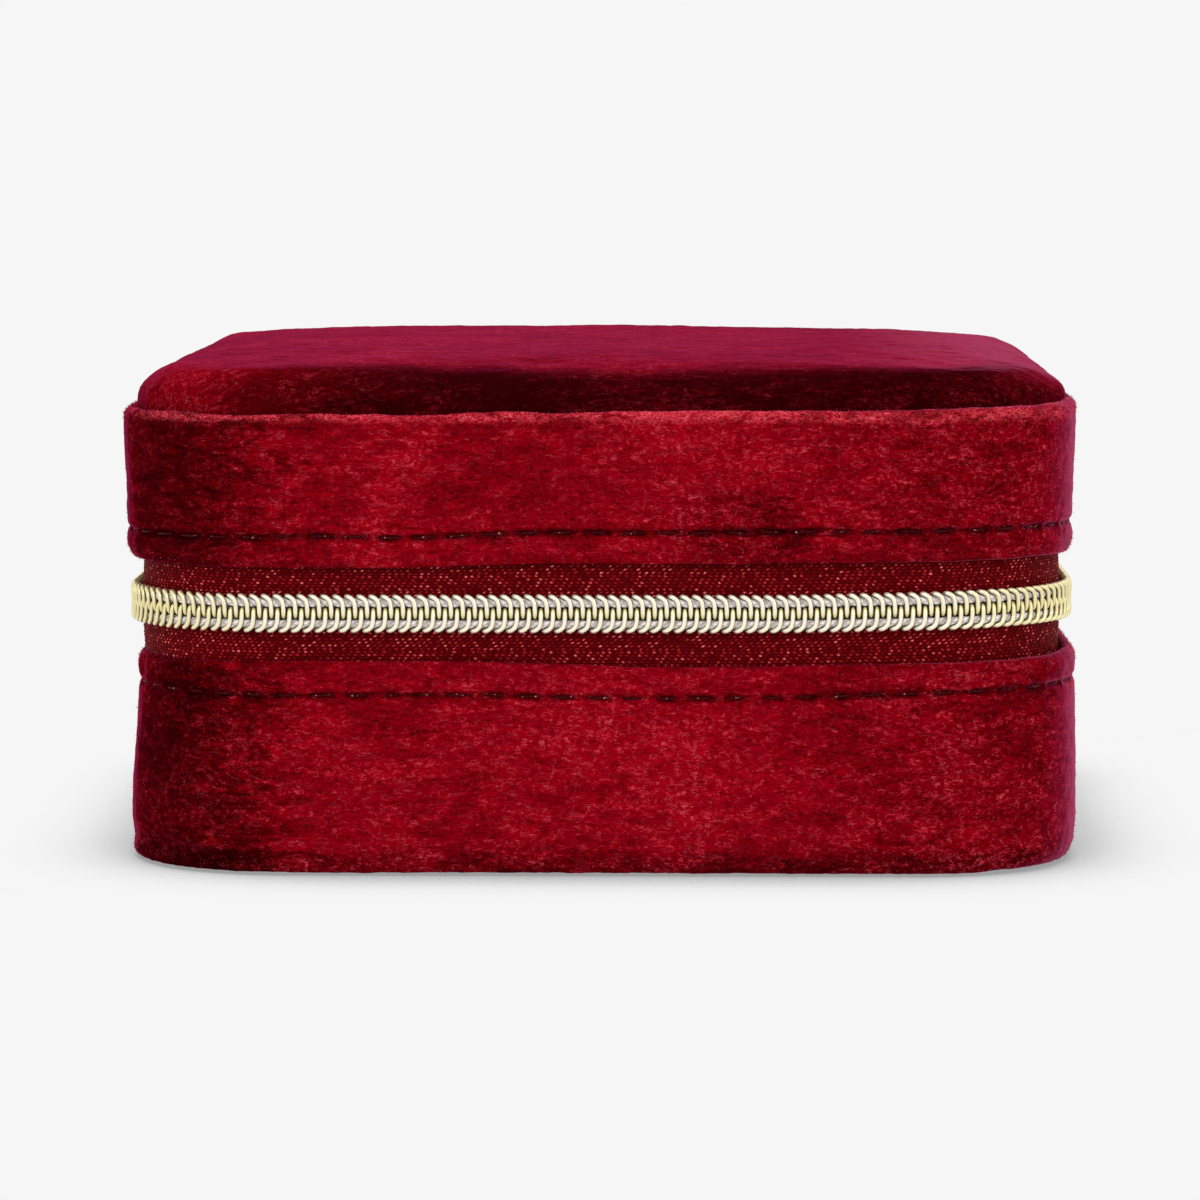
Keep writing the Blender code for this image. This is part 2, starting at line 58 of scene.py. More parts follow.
HALF, CORNER = 50.0, 15.5         # guide square's half side and corner radius
RUN_OFF = 2.0                     # run lengths are measured along this offset
ZIP_Z = 29.0
RIM_Z = 51.7                      # top of the lid's side
BASE_STITCH_Z, LID_STITCH_Z = 19.9, 37.7
BASE_HEM_Z, LID_HEM_Z = 23.6, 34.4
STITCH_COUNT = 103
WOBBLE = 0.34                     # wander of the stitched lines
TUCK = 0.8                        # how far the base is drawn in at its left


# ---------------------------------------------------------------- guide line
FLAT = HALF - CORNER
ARC = (CORNER + RUN_OFF) * math.pi / 2
LENGTHS = [FLAT, ARC, 2 * FLAT, ARC, 2 * FLAT, ARC, 2 * FLAT, ARC, FLAT]
ENDS = np.concatenate([[0.0], np.cumsum(LENGTHS)])
TOTAL = float(ENDS[-1])
STITCH = TOTAL / STITCH_COUNT
# segment: (start point, direction)
STRAIGHTS = {0: ((0, HALF), (-1, 0)), 2: ((-HALF, FLAT), (0, -1)), 4: ((-FLAT, -HALF), (1, 0)),
             6: ((HALF, -FLAT), (0, 1)), 8: ((FLAT, HALF), (-1, 0))}
# segment: (centre, start angle in degrees)
ARCS = {1: ((-FLAT, FLAT), 90), 3: ((-FLAT, -FLAT), 180), 5: ((FLAT, -FLAT), 270),
        7: ((FLAT, FLAT), 0)}


def guide(run):
    """Guide points and outward normals, counter-clockwise from the back's centre."""
    run = np.mod(np.asarray(run, float), TOTAL)
    segment = np.clip(np.searchsorted(ENDS, run, side="right") - 1, 0, 8)
    x, y, nx, ny = (np.zeros_like(run) for _ in range(4))
    for k in range(9):
        mask = segment == k
        if not mask.any():
            continue
        rest = run[mask] - ENDS[k]
        if k in STRAIGHTS:
            start, way = STRAIGHTS[k]
            x[mask] = start[0] + way[0] * rest
            y[mask] = start[1] + way[1] * rest
            nx[mask], ny[mask] = way[1], -way[0]
        else:
            centre, first = ARCS[k]
            angle = math.radians(first) + rest / ARC * math.pi / 2
            nx[mask] = np.cos(angle)
            ny[mask] = np.sin(angle)
            x[mask] = centre[0] + CORNER * nx[mask]
            y[mask] = centre[1] + CORNER * ny[mask]
    return x, y, nx, ny


def vec(x, y, z):
    """Points from coordinates that broadcast together."""
    return np.stack(np.broadcast_arrays(x, y, z), -1)


def at(run, off, z):
    x, y, nx, ny = guide(run)
    return vec(x + nx * off, y + ny * off, z)


def smooth(start, end, value):
    """Smooth step from 0 at start to 1 at end; start may be the larger."""
    share = np.clip((value - start) / (end - start), 0, 1)
    return share * share * (3 - 2 * share)


def rim_settle(x):
    """Shift of the lid's top seam from its nominal height: lowest at the left."""
    return (-1.0 - 0.2 * smooth(44.0, 12.0, x) - 0.5 * smooth(-4.0, -24.0, x)
            + 0.25 * smooth(38.0, 50.0, x) + 0.10 * smooth(-38.0, -50.0, x))


def settle(x, z):
    """Vertical shift of the soft outside; the zip line dips except at its right."""
    zip_dip = -0.50 * smooth(46.0, 14.0, x)
    seam_dip = -0.35 - 0.10 * smooth(44.0, 12.0, x) - 0.50 * smooth(-4.0, -20.0, x)
    knots = [(8.0, 0.0 * x), (ZIP_Z - 2, zip_dip), (ZIP_Z + 2, zip_dip),
             (LID_STITCH_Z, seam_dip), (RIM_Z, rim_settle(x))]
    shift = np.zeros(np.broadcast(x, z).shape)
    for (z0, low), (z1, high) in zip(knots[:-1], knots[1:]):
        share = (z - z0) / (z1 - z0)
        shift = np.where((z >= z0) & (z < z1), low + (high - low) * share, shift)
    return np.where(z >= RIM_Z, rim_settle(x), shift)


def at_out(run, off, z):
    """A point on the soft outside of the case, settled."""
    points = at(run, off, z)
    points[..., 2] += settle(points[..., 0], points[..., 2])
    return points


# ---------------------------------------------------------------- noise
def hash3(i, j, k, seed):
    """A random value in 0..1 for each whole-number cell."""
    h = (i.astype(np.int64) * 374761393 + j.astype(np.int64) * 668265263
         + k.astype(np.int64) * 2147483647 + seed * 974711) & 0xFFFFFFFF
    h = ((h ^ (h >> 13)) * 1274126177) & 0xFFFFFFFF
    h = ((h ^ (h >> 15)) * 2246822519) & 0xFFFFFFFF
    return ((h ^ (h >> 16)) & 0xFFFFFF) / float(0xFFFFFF)


def vnoise(points, scale, seed):
    """Smooth value noise in -1..1; scale is mm per cell (a number or three)."""
    cells = np.asarray(points, float) / np.asarray(scale, float)
    floor = np.floor(cells)
    part = cells - floor
    part = part * part * (3 - 2 * part)
    ends = (1 - part, part)
    i, j, k = floor[..., 0], floor[..., 1], floor[..., 2]
    total = 0
    for a, b, c in np.ndindex(2, 2, 2):
        weight = ends[a][..., 0] * ends[b][..., 1] * ends[c][..., 2]
        total = total + weight * hash3(i + a, j + b, k + c, seed)
    return total * 2 - 1


def line_noise(values, scale, seed):
    return vnoise(vec(values, 0, 0), scale, seed)


def fbm(points, scale, seed):
    """Three octaves of value noise."""
    total = 0
    for octave in range(3):
        size = np.asarray(scale, float) / 2 ** octave
        total = total + 0.5 ** octave * vnoise(points, size, seed + 17 * octave)
    return total / 1.75


# ---------------------------------------------------------------- meshes
def make_mesh(name, verts, faces, mats, attrs=None, smooth_shade=True, mat_index=None):
    """An object from points in mm and an (n, 3 or 4) array of faces."""
    verts = np.asarray(verts, float).reshape(-1, 3) * MM
    faces = np.asarray(faces, np.int32)
    count, corners = faces.shape
    loops = count * corners
    mesh = bpy.data.meshes.new(name)
    mesh.vertices.add(len(verts))
    mesh.vertices.foreach_set("co", verts.ravel().astype(np.float32))
    mesh.loops.add(loops)
    mesh.loops.foreach_set("vertex_index", faces.ravel())
    mesh.polygons.add(count)
    mesh.polygons.foreach_set("loop_start", np.arange(0, loops, corners, dtype=np.int32))
    mesh.polygons.foreach_set("loop_total", np.full(count, corners, np.int32))
    if smooth_shade:
        mesh.polygons.foreach_set("use_smooth", np.ones(count, bool))
    for mat in (mats if isinstance(mats, list) else [mats]):
        mesh.materials.append(mat)
    if mat_index is not None:
        mesh.polygons.foreach_set("material_index", np.asarray(mat_index, np.int32))
    mesh.update(calc_edges=True)
    mesh.validate()
    for key, values in (attrs or {}).items():
        attribute = mesh.attributes.new(key, "FLOAT", "POINT")
        attribute.data.foreach_set("value", np.asarray(values, np.float32).ravel())
    obj = bpy.data.objects.new(name, mesh)
    bpy.context.scene.collection.objects.link(obj)
    return obj


def place(obj, body, slot, *nodes):
    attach(obj, body)
    if nodes:
        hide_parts(*nodes)


def circle(count):
    return np.arange(count) * 2 * math.pi / count


def grid_faces(rows, cols, close_rows, close_cols):
    i = np.arange(rows if close_rows else rows - 1)[:, None]
    j = np.arange(cols if close_cols else cols - 1)[None, :]
    i2, j2 = (i + 1) % rows, (j + 1) % cols
    return np.stack([i * cols + j, i2 * cols + j, i2 * cols + j2, i * cols + j2],
                    -1).reshape(-1, 4)


def split_quads(quads):
    return np.concatenate([quads[:, [0, 1, 2]], quads[:, [0, 2, 3]]])


def unit(vectors, least):
    return vectors / np.maximum(np.linalg.norm(vectors, axis=-1, keepdims=True), least)


def normals_of(points, close_rows, close_cols):
    def diff(axis, close):
        if close:
            return np.roll(points, -1, axis) - np.roll(points, 1, axis)
        return np.gradient(points, axis=axis)
    return unit(np.cross(diff(0, close_rows), diff(1, close_cols)), 1e-9)


def close_tube(rings):
    """Points and triangles of a tube of rings, its ends closed onto centre points."""
    count, sides = rings.shape[:2]
    centre = count * sides
    last = centre - sides
    caps = []
    for j in range(sides):
        after = (j + 1) % sides
        caps.append((centre, after, j))
        caps.append((centre + 1, last + j, last + after))
    points = np.concatenate([rings.reshape(-1, 3), rings[[0, -1]].mean(1)])
    quads = grid_faces(count, sides, False, True)
    return points, np.concatenate([split_quads(quads), np.array(caps)])


def make_capped(name, rings, mat, attrs=None):
    """A closed tube from an (n, sides, 3) grid of rings."""
    attrs = {key: np.concatenate([values.ravel(), [values[0].mean(), values[-1].mean()]])
             for key, values in (attrs or {}).items()}
    return make_mesh(name, *close_tube(rings), mat, attrs)


def make_threads(name, tubes, plies):
    """Many short closed tubes of thread in one mesh."""
    verts, faces, count = [], [], 0
    for rings in tubes:
        points, triangles = close_tube(rings)
        verts.append(points)
        faces.append(triangles + count)
        count += len(points)
    return make_mesh(name, np.concatenate(verts), np.concatenate(faces), THREAD,
                     {"ply": np.concatenate(plies)})


def make_shell(name, points, thick, mat, attrs=None):
    """Closes a sheet of points into a thin solid, thick mm below it."""
    rows, cols = points.shape[:2]
    under = points - normals_of(points, False, False) * thick
    top = grid_faces(rows, cols, False, False)
    bottom = top[:, ::-1] + rows * cols
    rim = [(i, 0) for i in range(rows)] + [(rows - 1, j) for j in range(1, cols)]
    rim += [(i, cols - 1) for i in range(rows - 2, -1, -1)]
    rim += [(0, j) for j in range(cols - 2, 0, -1)]
    ids = np.array([i * cols + j for i, j in rim])
    after = np.roll(ids, -1)
    side = np.stack([after, ids, ids + rows * cols, after + rows * cols], -1)
    verts = np.concatenate([points.reshape(-1, 3), under.reshape(-1, 3)])
    return make_mesh(name, verts, np.concatenate([top, bottom, side]), mat, attrs)


# ---------------------------------------------------------------- shader helper
class Shader:
    """A material's node tree. Values may be numbers, RGB tuples or sockets."""

    def __init__(self, name):
        self.mat = bpy.data.materials.new(name)
        self.mat.use_nodes = True
        self.tree = self.mat.node_tree
        self.bsdf = self.tree.nodes["Principled BSDF"]

    def set(self, node, key, value):
        if isinstance(value, bpy.types.NodeSocket):
            self.tree.links.new(value, node.inputs[key])
        else:
            value = (*value, 1) if isinstance(value, tuple) else value
            node.inputs[key].default_value = value

    def put(self, kind, props=None, **inputs):
        node = self.tree.nodes.new(kind)
        for key, value in (props or {}).items():
            setattr(node, key, value)
        for key, value in inputs.items():
            self.set(node, key, value)
        return node

    def math(self, operation, *values, clamp=False):
        node = self.put("ShaderNodeMath", {"operation": operation, "use_clamp": clamp})
        for i, value in enumerate((*values, 0.0, 0.0)[:3]):
            self.set(node, i, value)
        return node.outputs[0]

    def plus(self, a, b, clamp=False):
        return self.math("ADD", a, b, clamp=clamp)

    def minus(self, a, b, clamp=False):
        return self.math("SUBTRACT", a, b, clamp=clamp)

    def times(self, a, b):
        return self.math("MULTIPLY", a, b)

    def scaled(self, value, by, plus, clamp=False):
        return self.math("MULTIPLY_ADD", value, by, plus, clamp=clamp)

    def swing(self, base, noise, by):
        """base, moved up and down by a 0..1 noise."""
        return self.scaled(self.minus(noise, 0.5), by, base)

    def distance(self, value, centre):
        return self.math("ABSOLUTE", self.minus(value, centre))

    def remap(self, value, over, to=(0.0, 1.0), soft=False):
        """Maps the range 'over' onto the range 'to', clamped; soft eases the ends."""
        kind = "SMOOTHSTEP" if soft else "LINEAR"
        node = self.put("ShaderNodeMapRange", {"interpolation_type": kind})
        for i, item in enumerate((value, *over, *to)):
            self.set(node, i, item)
        return node.outputs[0]

    def coords(self, scale=(1, 1, 1), offset=(0, 0, 0)):
        """Object coordinates in mm, scaled."""
        source = self.put("ShaderNodeTexCoord").outputs["Object"]
        node = self.put("ShaderNodeMapping", Vector=source)
        node.inputs["Scale"].default_value = [1000 * s for s in scale]
        node.inputs["Location"].default_value = offset
        return node.outputs["Vector"]

    def xyz(self, vector):
        node = self.put("ShaderNodeSeparateXYZ")
        self.set(node, 0, vector)
        return node.outputs

    def noise(self, vector, scale, detail=2.0, rough=0.5, distort=0.0):
        return self.put("ShaderNodeTexNoise", Scale=scale, Detail=detail, Roughness=rough,
                        Distortion=distort, Vector=vector).outputs["Fac"]

    def ramp(self, factor, stops):
        """stops: (position, colour)."""
        node = self.put("ShaderNodeValToRGB")
        elements = node.color_ramp.elements
        while len(elements) < len(stops):
            elements.new(0.5)
        for element, (position, colour) in zip(elements, stops):
            element.position = position
            element.color = (*colour, 1)
        self.set(node, "Fac", factor)
        return node.outputs["Color"]

    def mix(self, factor, first, second):
        node = self.put("ShaderNodeMix", {"data_type": "RGBA"})
        for key, value in ((0, factor), (6, first), (7, second)):
            self.set(node, key, value)
        return node.outputs[2]

    def bump(self, height, depth, strength):
        """depth in mm."""
        return self.put("ShaderNodeBump", Strength=strength, Distance=depth * MM,
                        Height=height).outputs["Normal"]

    def attr(self, name):
        node = self.put("ShaderNodeAttribute", {"attribute_name": name})
        return node.outputs["Fac"]

    def crevice_shade(self, reach, over, low):
        """A factor that falls from 1 to low in gaps narrower than reach mm; it paints shade into
        gaps.
        """
        node = self.put("ShaderNodeAmbientOcclusion", {"samples": 5}, Distance=reach * MM)
        return self.remap(node.outputs["AO"], over=over, to=(low, 1.0))

    def out(self, **inputs):
        for key, value in inputs.items():
            self.set(self.bsdf, key.replace("_", " "), value)
        return self.mat


# ---------------------------------------------------------------- velvet materials
def wall_brush(mat, pile):
    """The wall's own marks and its painted light: brushed patches, the rim's ridge, painted shade
    in the sunk needle line, a crease and the foot, and painted sheen at the edges.
    """
    x, y, z = pile.x, pile.y, pile.z
    tone, shine = pile.tone, pile.shine
    # pile brushed the other way at the front's left end
    ragged_x = mat.swing(x, pile.clump, by=13.0)
    left = mat.remap(ragged_x, over=(-47.0, -29.0), to=(1.0, 0.0), soft=True)
    front = mat.remap(y, over=(-46.0, -34.0), to=(1.0, 0.0), soft=True)
    left = mat.times(left, front)
    tone = mat.scaled(left, by=mat.remap(z, over=(16.0, 26.0), to=(-0.35, -0.28)), plus=tone)
    shine = mat.times(shine, mat.scaled(left, by=-0.75, plus=1.0))
    # painted shade of a small crease on the lid's hem, an oval by its centre and half sizes
    dx = mat.math("DIVIDE", mat.minus(ragged_x, 15.0), 7.5)
    dz = mat.math("DIVIDE", mat.minus(z, 37.5), 4.5)
    reach = mat.plus(mat.times(dx, dx), mat.times(dz, dz))
    crease_shade = mat.remap(reach, over=(0.2, 1.6), to=(0.13, 0.0), soft=True)
    tone = mat.minus(tone, mat.times(crease_shade, front))
    # a little darker towards the right
    tone = mat.minus(tone, mat.remap(x, over=(14.0, 42.0), to=(-0.015, 0.085), soft=True))
    # the fold at the rim stands up and catches the light
    ridge = mat.times(mat.remap(z, over=(49.0, 49.8), soft=True),
                      mat.remap(pile.clump, over=(0.36, 0.58), to=(0.20, 1.0)))
    ridge = mat.times(ridge, mat.scaled(front, by=0.75, plus=0.25))
    tone = mat.scaled(ridge, by=0.20, plus=tone)
    tone = mat.scaled(mat.times(ridge, mat.minus(pile.grain, 0.5)), by=0.9, plus=tone)
    shine = mat.scaled(ridge, by=0.75, plus=shine)
    sparkle = mat.noise(pile.streaks, scale=3.4, detail=2.0, rough=0.6, distort=1.0)
    pile.glint = mat.times(mat.times(ridge, front),
                           mat.remap(sparkle, over=(0.51, 0.61), to=(0.0, 0.90)))
    # painted shade in the needle's line, which lies deep in the pile
    sunk = mat.times(mat.attr("sunk"), mat.remap(pile.grain, over=(0.35, 0.6), to=(1.0, 0.55)))
    tone = mat.scaled(sunk, by=-0.66, plus=tone)
    pile.shine = mat.times(shine, mat.minus(1.0, sunk, clamp=True))
    # painted shade: the foot, by the floor, is darker
    pile.tone = mat.minus(tone, mat.remap(z, over=(1.2, 3.4), to=(0.16, 0.0), soft=True))
    # painted sheen: pale edges where the pile turns away, along the hems and at the two sides
    turn_from = mat.remap(x, over=(-50.0, 20.0), to=(0.72, 0.38))
    turn = mat.remap(pile.facing, over=(turn_from, 0.90), soft=True)
    broken = mat.scaled(pile.fine, by=0.6, plus=pile.clump)
    edge = mat.times(turn, mat.remap(broken, over=(0.5, 1.1), to=(0.66, 1.0)))
    lip = mat.math("MAXIMUM",
                   mat.remap(mat.distance(z, ZIP_Z), over=(5.2, 7.6), to=(0.10, 1.0)),
                   mat.remap(mat.math("ABSOLUTE", x), over=(41.0, 50.0)))
    pile.edge = mat.times(edge, lip)
    pile.graze = mat.remap(pile.facing, over=(0.58, 0.95), to=(0.0, 0.92), soft=True)


def top_brush(mat, pile):
    """The top's painted light: shade on the front shoulder, where the pile lies downhill, and
    sheen at the edges.
    """
    fine, clump = pile.fine, pile.clump
    # painted sheen where the top turns away
    edge = mat.remap(pile.facing, over=(0.60, 0.96), soft=True)
    edge = mat.times(edge, mat.remap(mat.plus(clump, mat.times(fine, 0.5)),
                                     over=(0.5, 0.95), to=(0.50, 1.0)))
    pile.glint = 0.0
    pile.graze = mat.remap(pile.facing, over=(0.80, 0.98), to=(0.0, 0.55), soft=True)
    ragged = mat.minus(mat.scaled(fine, by=0.5, plus=clump), 0.75)
    shoulder_shade = mat.plus(mat.attr("shoulder_shade"), mat.times(ragged, 0.85), clamp=True)
    # the pile leans back, so the painted shade on the shoulder shows only for a low view, not
    # from above
    incoming = mat.put("ShaderNodeNewGeometry").outputs["Incoming"]
    view = mat.put("ShaderNodeVectorTransform", {
        "vector_type": "VECTOR", "convert_from": "WORLD", "convert_to": "OBJECT"},
        Vector=incoming)
    height = mat.xyz(view.outputs[0])["Z"]
    shoulder_shade = mat.times(shoulder_shade, mat.remap(height, over=(0.24, 0.62), to=(1.0, 0.12), soft=True))
    pile.tone = mat.minus(pile.tone, mat.times(shoulder_shade, 0.43))
    pile.shine = mat.times(pile.shine, mat.scaled(shoulder_shade, by=-0.72, plus=0.9))
    edge = mat.times(edge, mat.scaled(shoulder_shade, by=-0.97, plus=1.0, clamp=True))
    streak = mat.noise(mat.coords((0.10, 0.55, 1.0)), scale=1.0, detail=3.0, rough=0.6,
                       distort=0.8)
    broken = mat.scaled(fine, by=0.7, plus=mat.scaled(streak, by=0.8, plus=clump))
    pile.edge = mat.times(edge, mat.remap(broken, over=(0.85, 1.40), to=(0.50, 1.0)))


def velvet(name, streak_scale, hair_scale, brush):
    """Crushed short-pile velvet; brush adds what belongs to one piece."""
    mat = Shader(name)
    here = mat.coords()
    streaks = mat.coords(streak_scale)
    fine = mat.noise(streaks, scale=1.55, detail=4.0, rough=0.66, distort=1.2)
    grain = mat.noise(here, scale=5.5, rough=0.6)
    clump = mat.noise(streaks, scale=0.30, detail=3.0, rough=0.55, distort=0.9)
    patch = mat.noise(here, scale=0.055, distort=0.6)

    def hairs(scale, width, shift, few):
        """Thin wavy lines where a noise crosses its middle, cut into short lengths."""
        waves = mat.noise(mat.coords(hair_scale, (shift, 2.0 * shift, shift)), scale=scale,
                          detail=1.0, distort=1.1)
        line = mat.remap(mat.distance(waves, 0.5), over=(0.0, width), to=(1.0, 0.0), soft=True)
        cut = mat.noise(mat.coords(offset=(2.0 * shift, shift, shift)), scale=1.5, detail=1.0)
        return mat.times(line, mat.remap(cut, over=(few, few + 0.10)))

    lit = hairs(scale=1.25, width=0.075, shift=3.1, few=0.44)
    bright = hairs(scale=1.6, width=0.055, shift=11.7, few=0.54)
    gaps = hairs(scale=1.1, width=0.09, shift=7.3, few=0.40)
    tone = mat.swing(0.515, fine, by=0.58)
    tone = mat.swing(tone, grain, by=0.34)
    tone = mat.swing(tone, clump, by=0.50)
    tone = mat.swing(tone, patch, by=0.36)
    # painted shade in the gaps between hairs
    tone = mat.scaled(gaps, by=-0.10, plus=tone)
    cloud = mat.plus(clump, mat.times(mat.minus(patch, 0.5), 0.8))
    shine = mat.remap(cloud, over=(0.38, 0.66), to=(0.10, 0.60))
    facing = mat.put("ShaderNodeLayerWeight", Blend=0.5).outputs["Facing"]
    x, y, z = mat.xyz(here)
    pile = SimpleNamespace(x=x, y=y, z=z, streaks=streaks, fine=fine, grain=grain,
                           clump=clump, facing=facing, tone=tone, shine=shine)
    brush(mat, pile)

    colour = mat.ramp(pile.tone, [
        (0.06, (0.020, 0.0, 0.0004)), (0.28, (0.078, 0.0, 0.0012)),
        (0.50, (0.235, 0.0002, 0.0050)), (0.72, (0.38, 0.0016, 0.0100)),
        (0.97, (0.60, 0.020, 0.034))])
    # painted sheen, paler where seen at a low angle, most at the right
    graze = mat.times(pile.graze, mat.remap(x, over=(25.0, 48.0), soft=True))
    # painted sheen at the edges, painted highlights on lit hairs, and the painted glint
    for factor, tint in ((mat.times(pile.edge, 0.90), (0.285, 0.016, 0.070)),
                         (graze, (0.44, 0.075, 0.165)),
                         (mat.times(lit, pile.shine), (0.66, 0.030, 0.055)),
                         (mat.times(bright, pile.shine), (0.76, 0.095, 0.125)),
                         (pile.glint, (0.78, 0.105, 0.135))):
        colour = mat.mix(factor, colour, tint)
    height = mat.scaled(lit, by=0.25, plus=mat.times(grain, 0.3))
    height = mat.scaled(fine, by=0.8, plus=height)
    return mat.out(Base_Color=colour,
                   Roughness=mat.remap(grain, over=(0.2, 0.8), to=(0.80, 0.96)),
                   Normal=mat.bump(height, depth=0.34, strength=0.8),
                   Sheen_Weight=0.03, Sheen_Roughness=0.35, Sheen_Tint=(1.0, 0.05, 0.22),
                   Specular_IOR_Level=0.0)


# ---------------------------------------------------------------- other materials
def plush(name, colours, scale=6.0, sheen=(0.9, 0.7, 0.68), depth=0.12, weight=0.35,
          rough=0.88):
    """Suede, satin, board or foam; colours run from dark to light."""
    mat = Shader(name)
    here = mat.coords()
    fine = mat.noise(here, scale=scale, detail=3.0, rough=0.6, distort=0.3)
    cloud = mat.noise(here, scale=0.16, detail=3.0, rough=0.55, distort=0.8)
    colour = mat.ramp(mat.swing(fine, cloud, by=0.55), list(zip((0.15, 0.5, 0.9), colours)))
    return mat.out(Base_Color=colour,
                   Roughness=mat.remap(cloud, over=(0.2, 0.8),
                                       to=(rough - 0.06, rough + 0.06)),
                   Normal=mat.bump(fine, depth=depth, strength=0.7),
                   Sheen_Weight=weight, Sheen_Roughness=0.4, Sheen_Tint=sheen,
                   Specular_IOR_Level=0.2)


def gold():
    """Pale gold plate with fine brushed lines along X."""
    mat = Shader("pale_gold_plate")
    cloud = mat.noise(mat.coords(), scale=0.9, detail=3.0, rough=0.55)
    hair = mat.noise(mat.coords((0.6, 6.0, 6.0)), scale=2.4, detail=3.0, rough=0.6)
    colour = mat.mix(mat.remap(cloud, over=(0.3, 0.75), to=(0.0, 0.6)),
                     (0.93, 0.82, 0.56), (0.80, 0.66, 0.36))
    rough = mat.swing(mat.remap(cloud, over=(0.3, 0.8), to=(0.12, 0.26)), hair, by=0.16)
    return mat.out(Base_Color=colour, Metallic=1.0, Roughness=rough,
                   Normal=mat.bump(hair, depth=0.006, strength=0.35))


def coil_metal():
    """Champagne on the loops' backs, yellower in the heads with a painted reflection and at the
    sides, painted shade in the gaps.
    """
    mat = Shader("champagne_coil")
    here = mat.coords()
    speck = mat.noise(here, scale=3.2, detail=3.0, rough=0.6)
    # painted reflection: the heads, turned inwards, are tinted yellower
    colour = mat.mix(mat.remap(mat.attr("head"), over=(0.25, 0.95), soft=True),
                     (0.96, 0.89, 0.69), (0.86, 0.74, 0.28))
    colour = mat.mix(mat.remap(speck, over=(0.35, 0.7), to=(0.0, 0.35)),
                     colour, (0.82, 0.76, 0.60))
    side = mat.remap(mat.math("ABSOLUTE", mat.xyz(here)[0]), over=(33.0, 50.0),
                     to=(0.0, 0.75), soft=True)
    colour = mat.mix(side, colour, (0.86, 0.74, 0.33))
    # painted shade: near black in the gaps between loops, with the metal's shine turned down
    # there too
    unshaded = mat.crevice_shade(reach=1.0, over=(0.32, 0.76), low=0.02)
    colour = mat.mix(unshaded, (0.05, 0.035, 0.02), colour)
    return mat.out(Base_Color=colour, Metallic=mat.times(unshaded, 0.62),
                   Roughness=mat.remap(speck, over=(0.3, 0.7), to=(0.22, 0.38)),
                   Specular_IOR_Level=mat.times(unshaded, 0.6),
                   Normal=mat.bump(speck, depth=0.02, strength=0.4),
                   Coat_Weight=mat.times(unshaded, 0.3), Coat_Roughness=0.12)


def yarn(name, dark, light, glint, sheen, rough, specular, reach=0.0):
    """Twisted yarn; its plies follow the angle stored on the mesh as ply, with painted light
    along each ply and painted shade between them.
    """
    mat = Shader(name)
    # painted light along each ply and painted shade between the plies
    wave = mat.plus(mat.times(mat.math("SINE", mat.attr("ply")), 0.5), 0.5)
    here = mat.coords()
    fuzz = mat.noise(here, scale=7.0, detail=3.0, rough=0.6)
    tone = mat.scaled(fuzz, by=0.5, plus=mat.times(wave, 0.5))
    colour = mat.ramp(tone, [(0.2, dark), (0.75, light)])
    specks = mat.noise(here, scale=2.3, detail=1.0)
    colour = mat.mix(mat.remap(specks, over=(0.645, 0.70), to=(0.0, 0.8)), colour, glint)
    # painted shade: the yarn runs nearly black in gaps narrower than reach
    if reach:
        colour = mat.mix(mat.crevice_shade(reach, over=(0.22, 0.62), low=0.0),
                         tuple(0.08 * c for c in dark), colour)
    return mat.out(Base_Color=colour, Roughness=rough,
                   Normal=mat.bump(tone, depth=0.06, strength=0.8),
                   Sheen_Weight=0.05, Sheen_Tint=sheen, Specular_IOR_Level=specular)


def tape_weave():
    """Glossy weft floats over a dark warp, the floats with a painted highlight; their height is
    the mesh's float_h.
    """
    mat = Shader("crimson_tape_weave")
    height = mat.attr("float_h")
    here = mat.coords()
    fuzz = mat.noise(here, scale=6.0, detail=3.0, rough=0.6)
    lit = mat.noise(here, scale=1.9, rough=0.6)
    # painted highlight: where lit, the floats' crests run to pale pink
    tone = mat.times(height, mat.remap(lit, over=(0.32, 0.64), to=(0.25, 1.25)))
    colour = mat.ramp(tone, [
        (0.0, (0.050, 0.0, 0.0006)), (0.28, (0.130, 0.0, 0.0018)),
        (0.60, (0.38, 0.014, 0.018)), (0.95, (0.82, 0.22, 0.21))])
    colour = mat.mix(mat.times(fuzz, 0.22), colour, (0.080, 0.0, 0.001))
    relief = mat.plus(mat.times(height, 0.6), mat.times(fuzz, 0.4))
    return mat.out(Base_Color=colour,
                   Roughness=mat.remap(height, over=(0.2, 1.0), to=(0.62, 0.36)),
                   Specular_IOR_Level=0.02,
                   Normal=mat.bump(relief, depth=0.10, strength=0.7), Sheen_Weight=0.0)


def mirror_glass():
    """Silvered glass with faint smears and dust."""
    mat = Shader("silvered_mirror")
    here = mat.coords()
    smear = mat.noise(mat.coords((0.4, 1.6, 1.0)), scale=0.35, detail=4.0, rough=0.6,
                      distort=0.8)
    dust = mat.noise(here, scale=5.0)
    colour = mat.mix(mat.remap(smear, over=(0.4, 0.8), to=(0.0, 0.25)),
                     (0.93, 0.95, 0.95), (0.80, 0.83, 0.84))
    rough = mat.plus(mat.remap(smear, over=(0.5, 0.8), to=(0.015, 0.07)),
                     mat.remap(dust, over=(0.7, 0.8), to=(0.0, 0.05)))
    return mat.out(Base_Color=colour, Metallic=1.0, Roughness=rough)


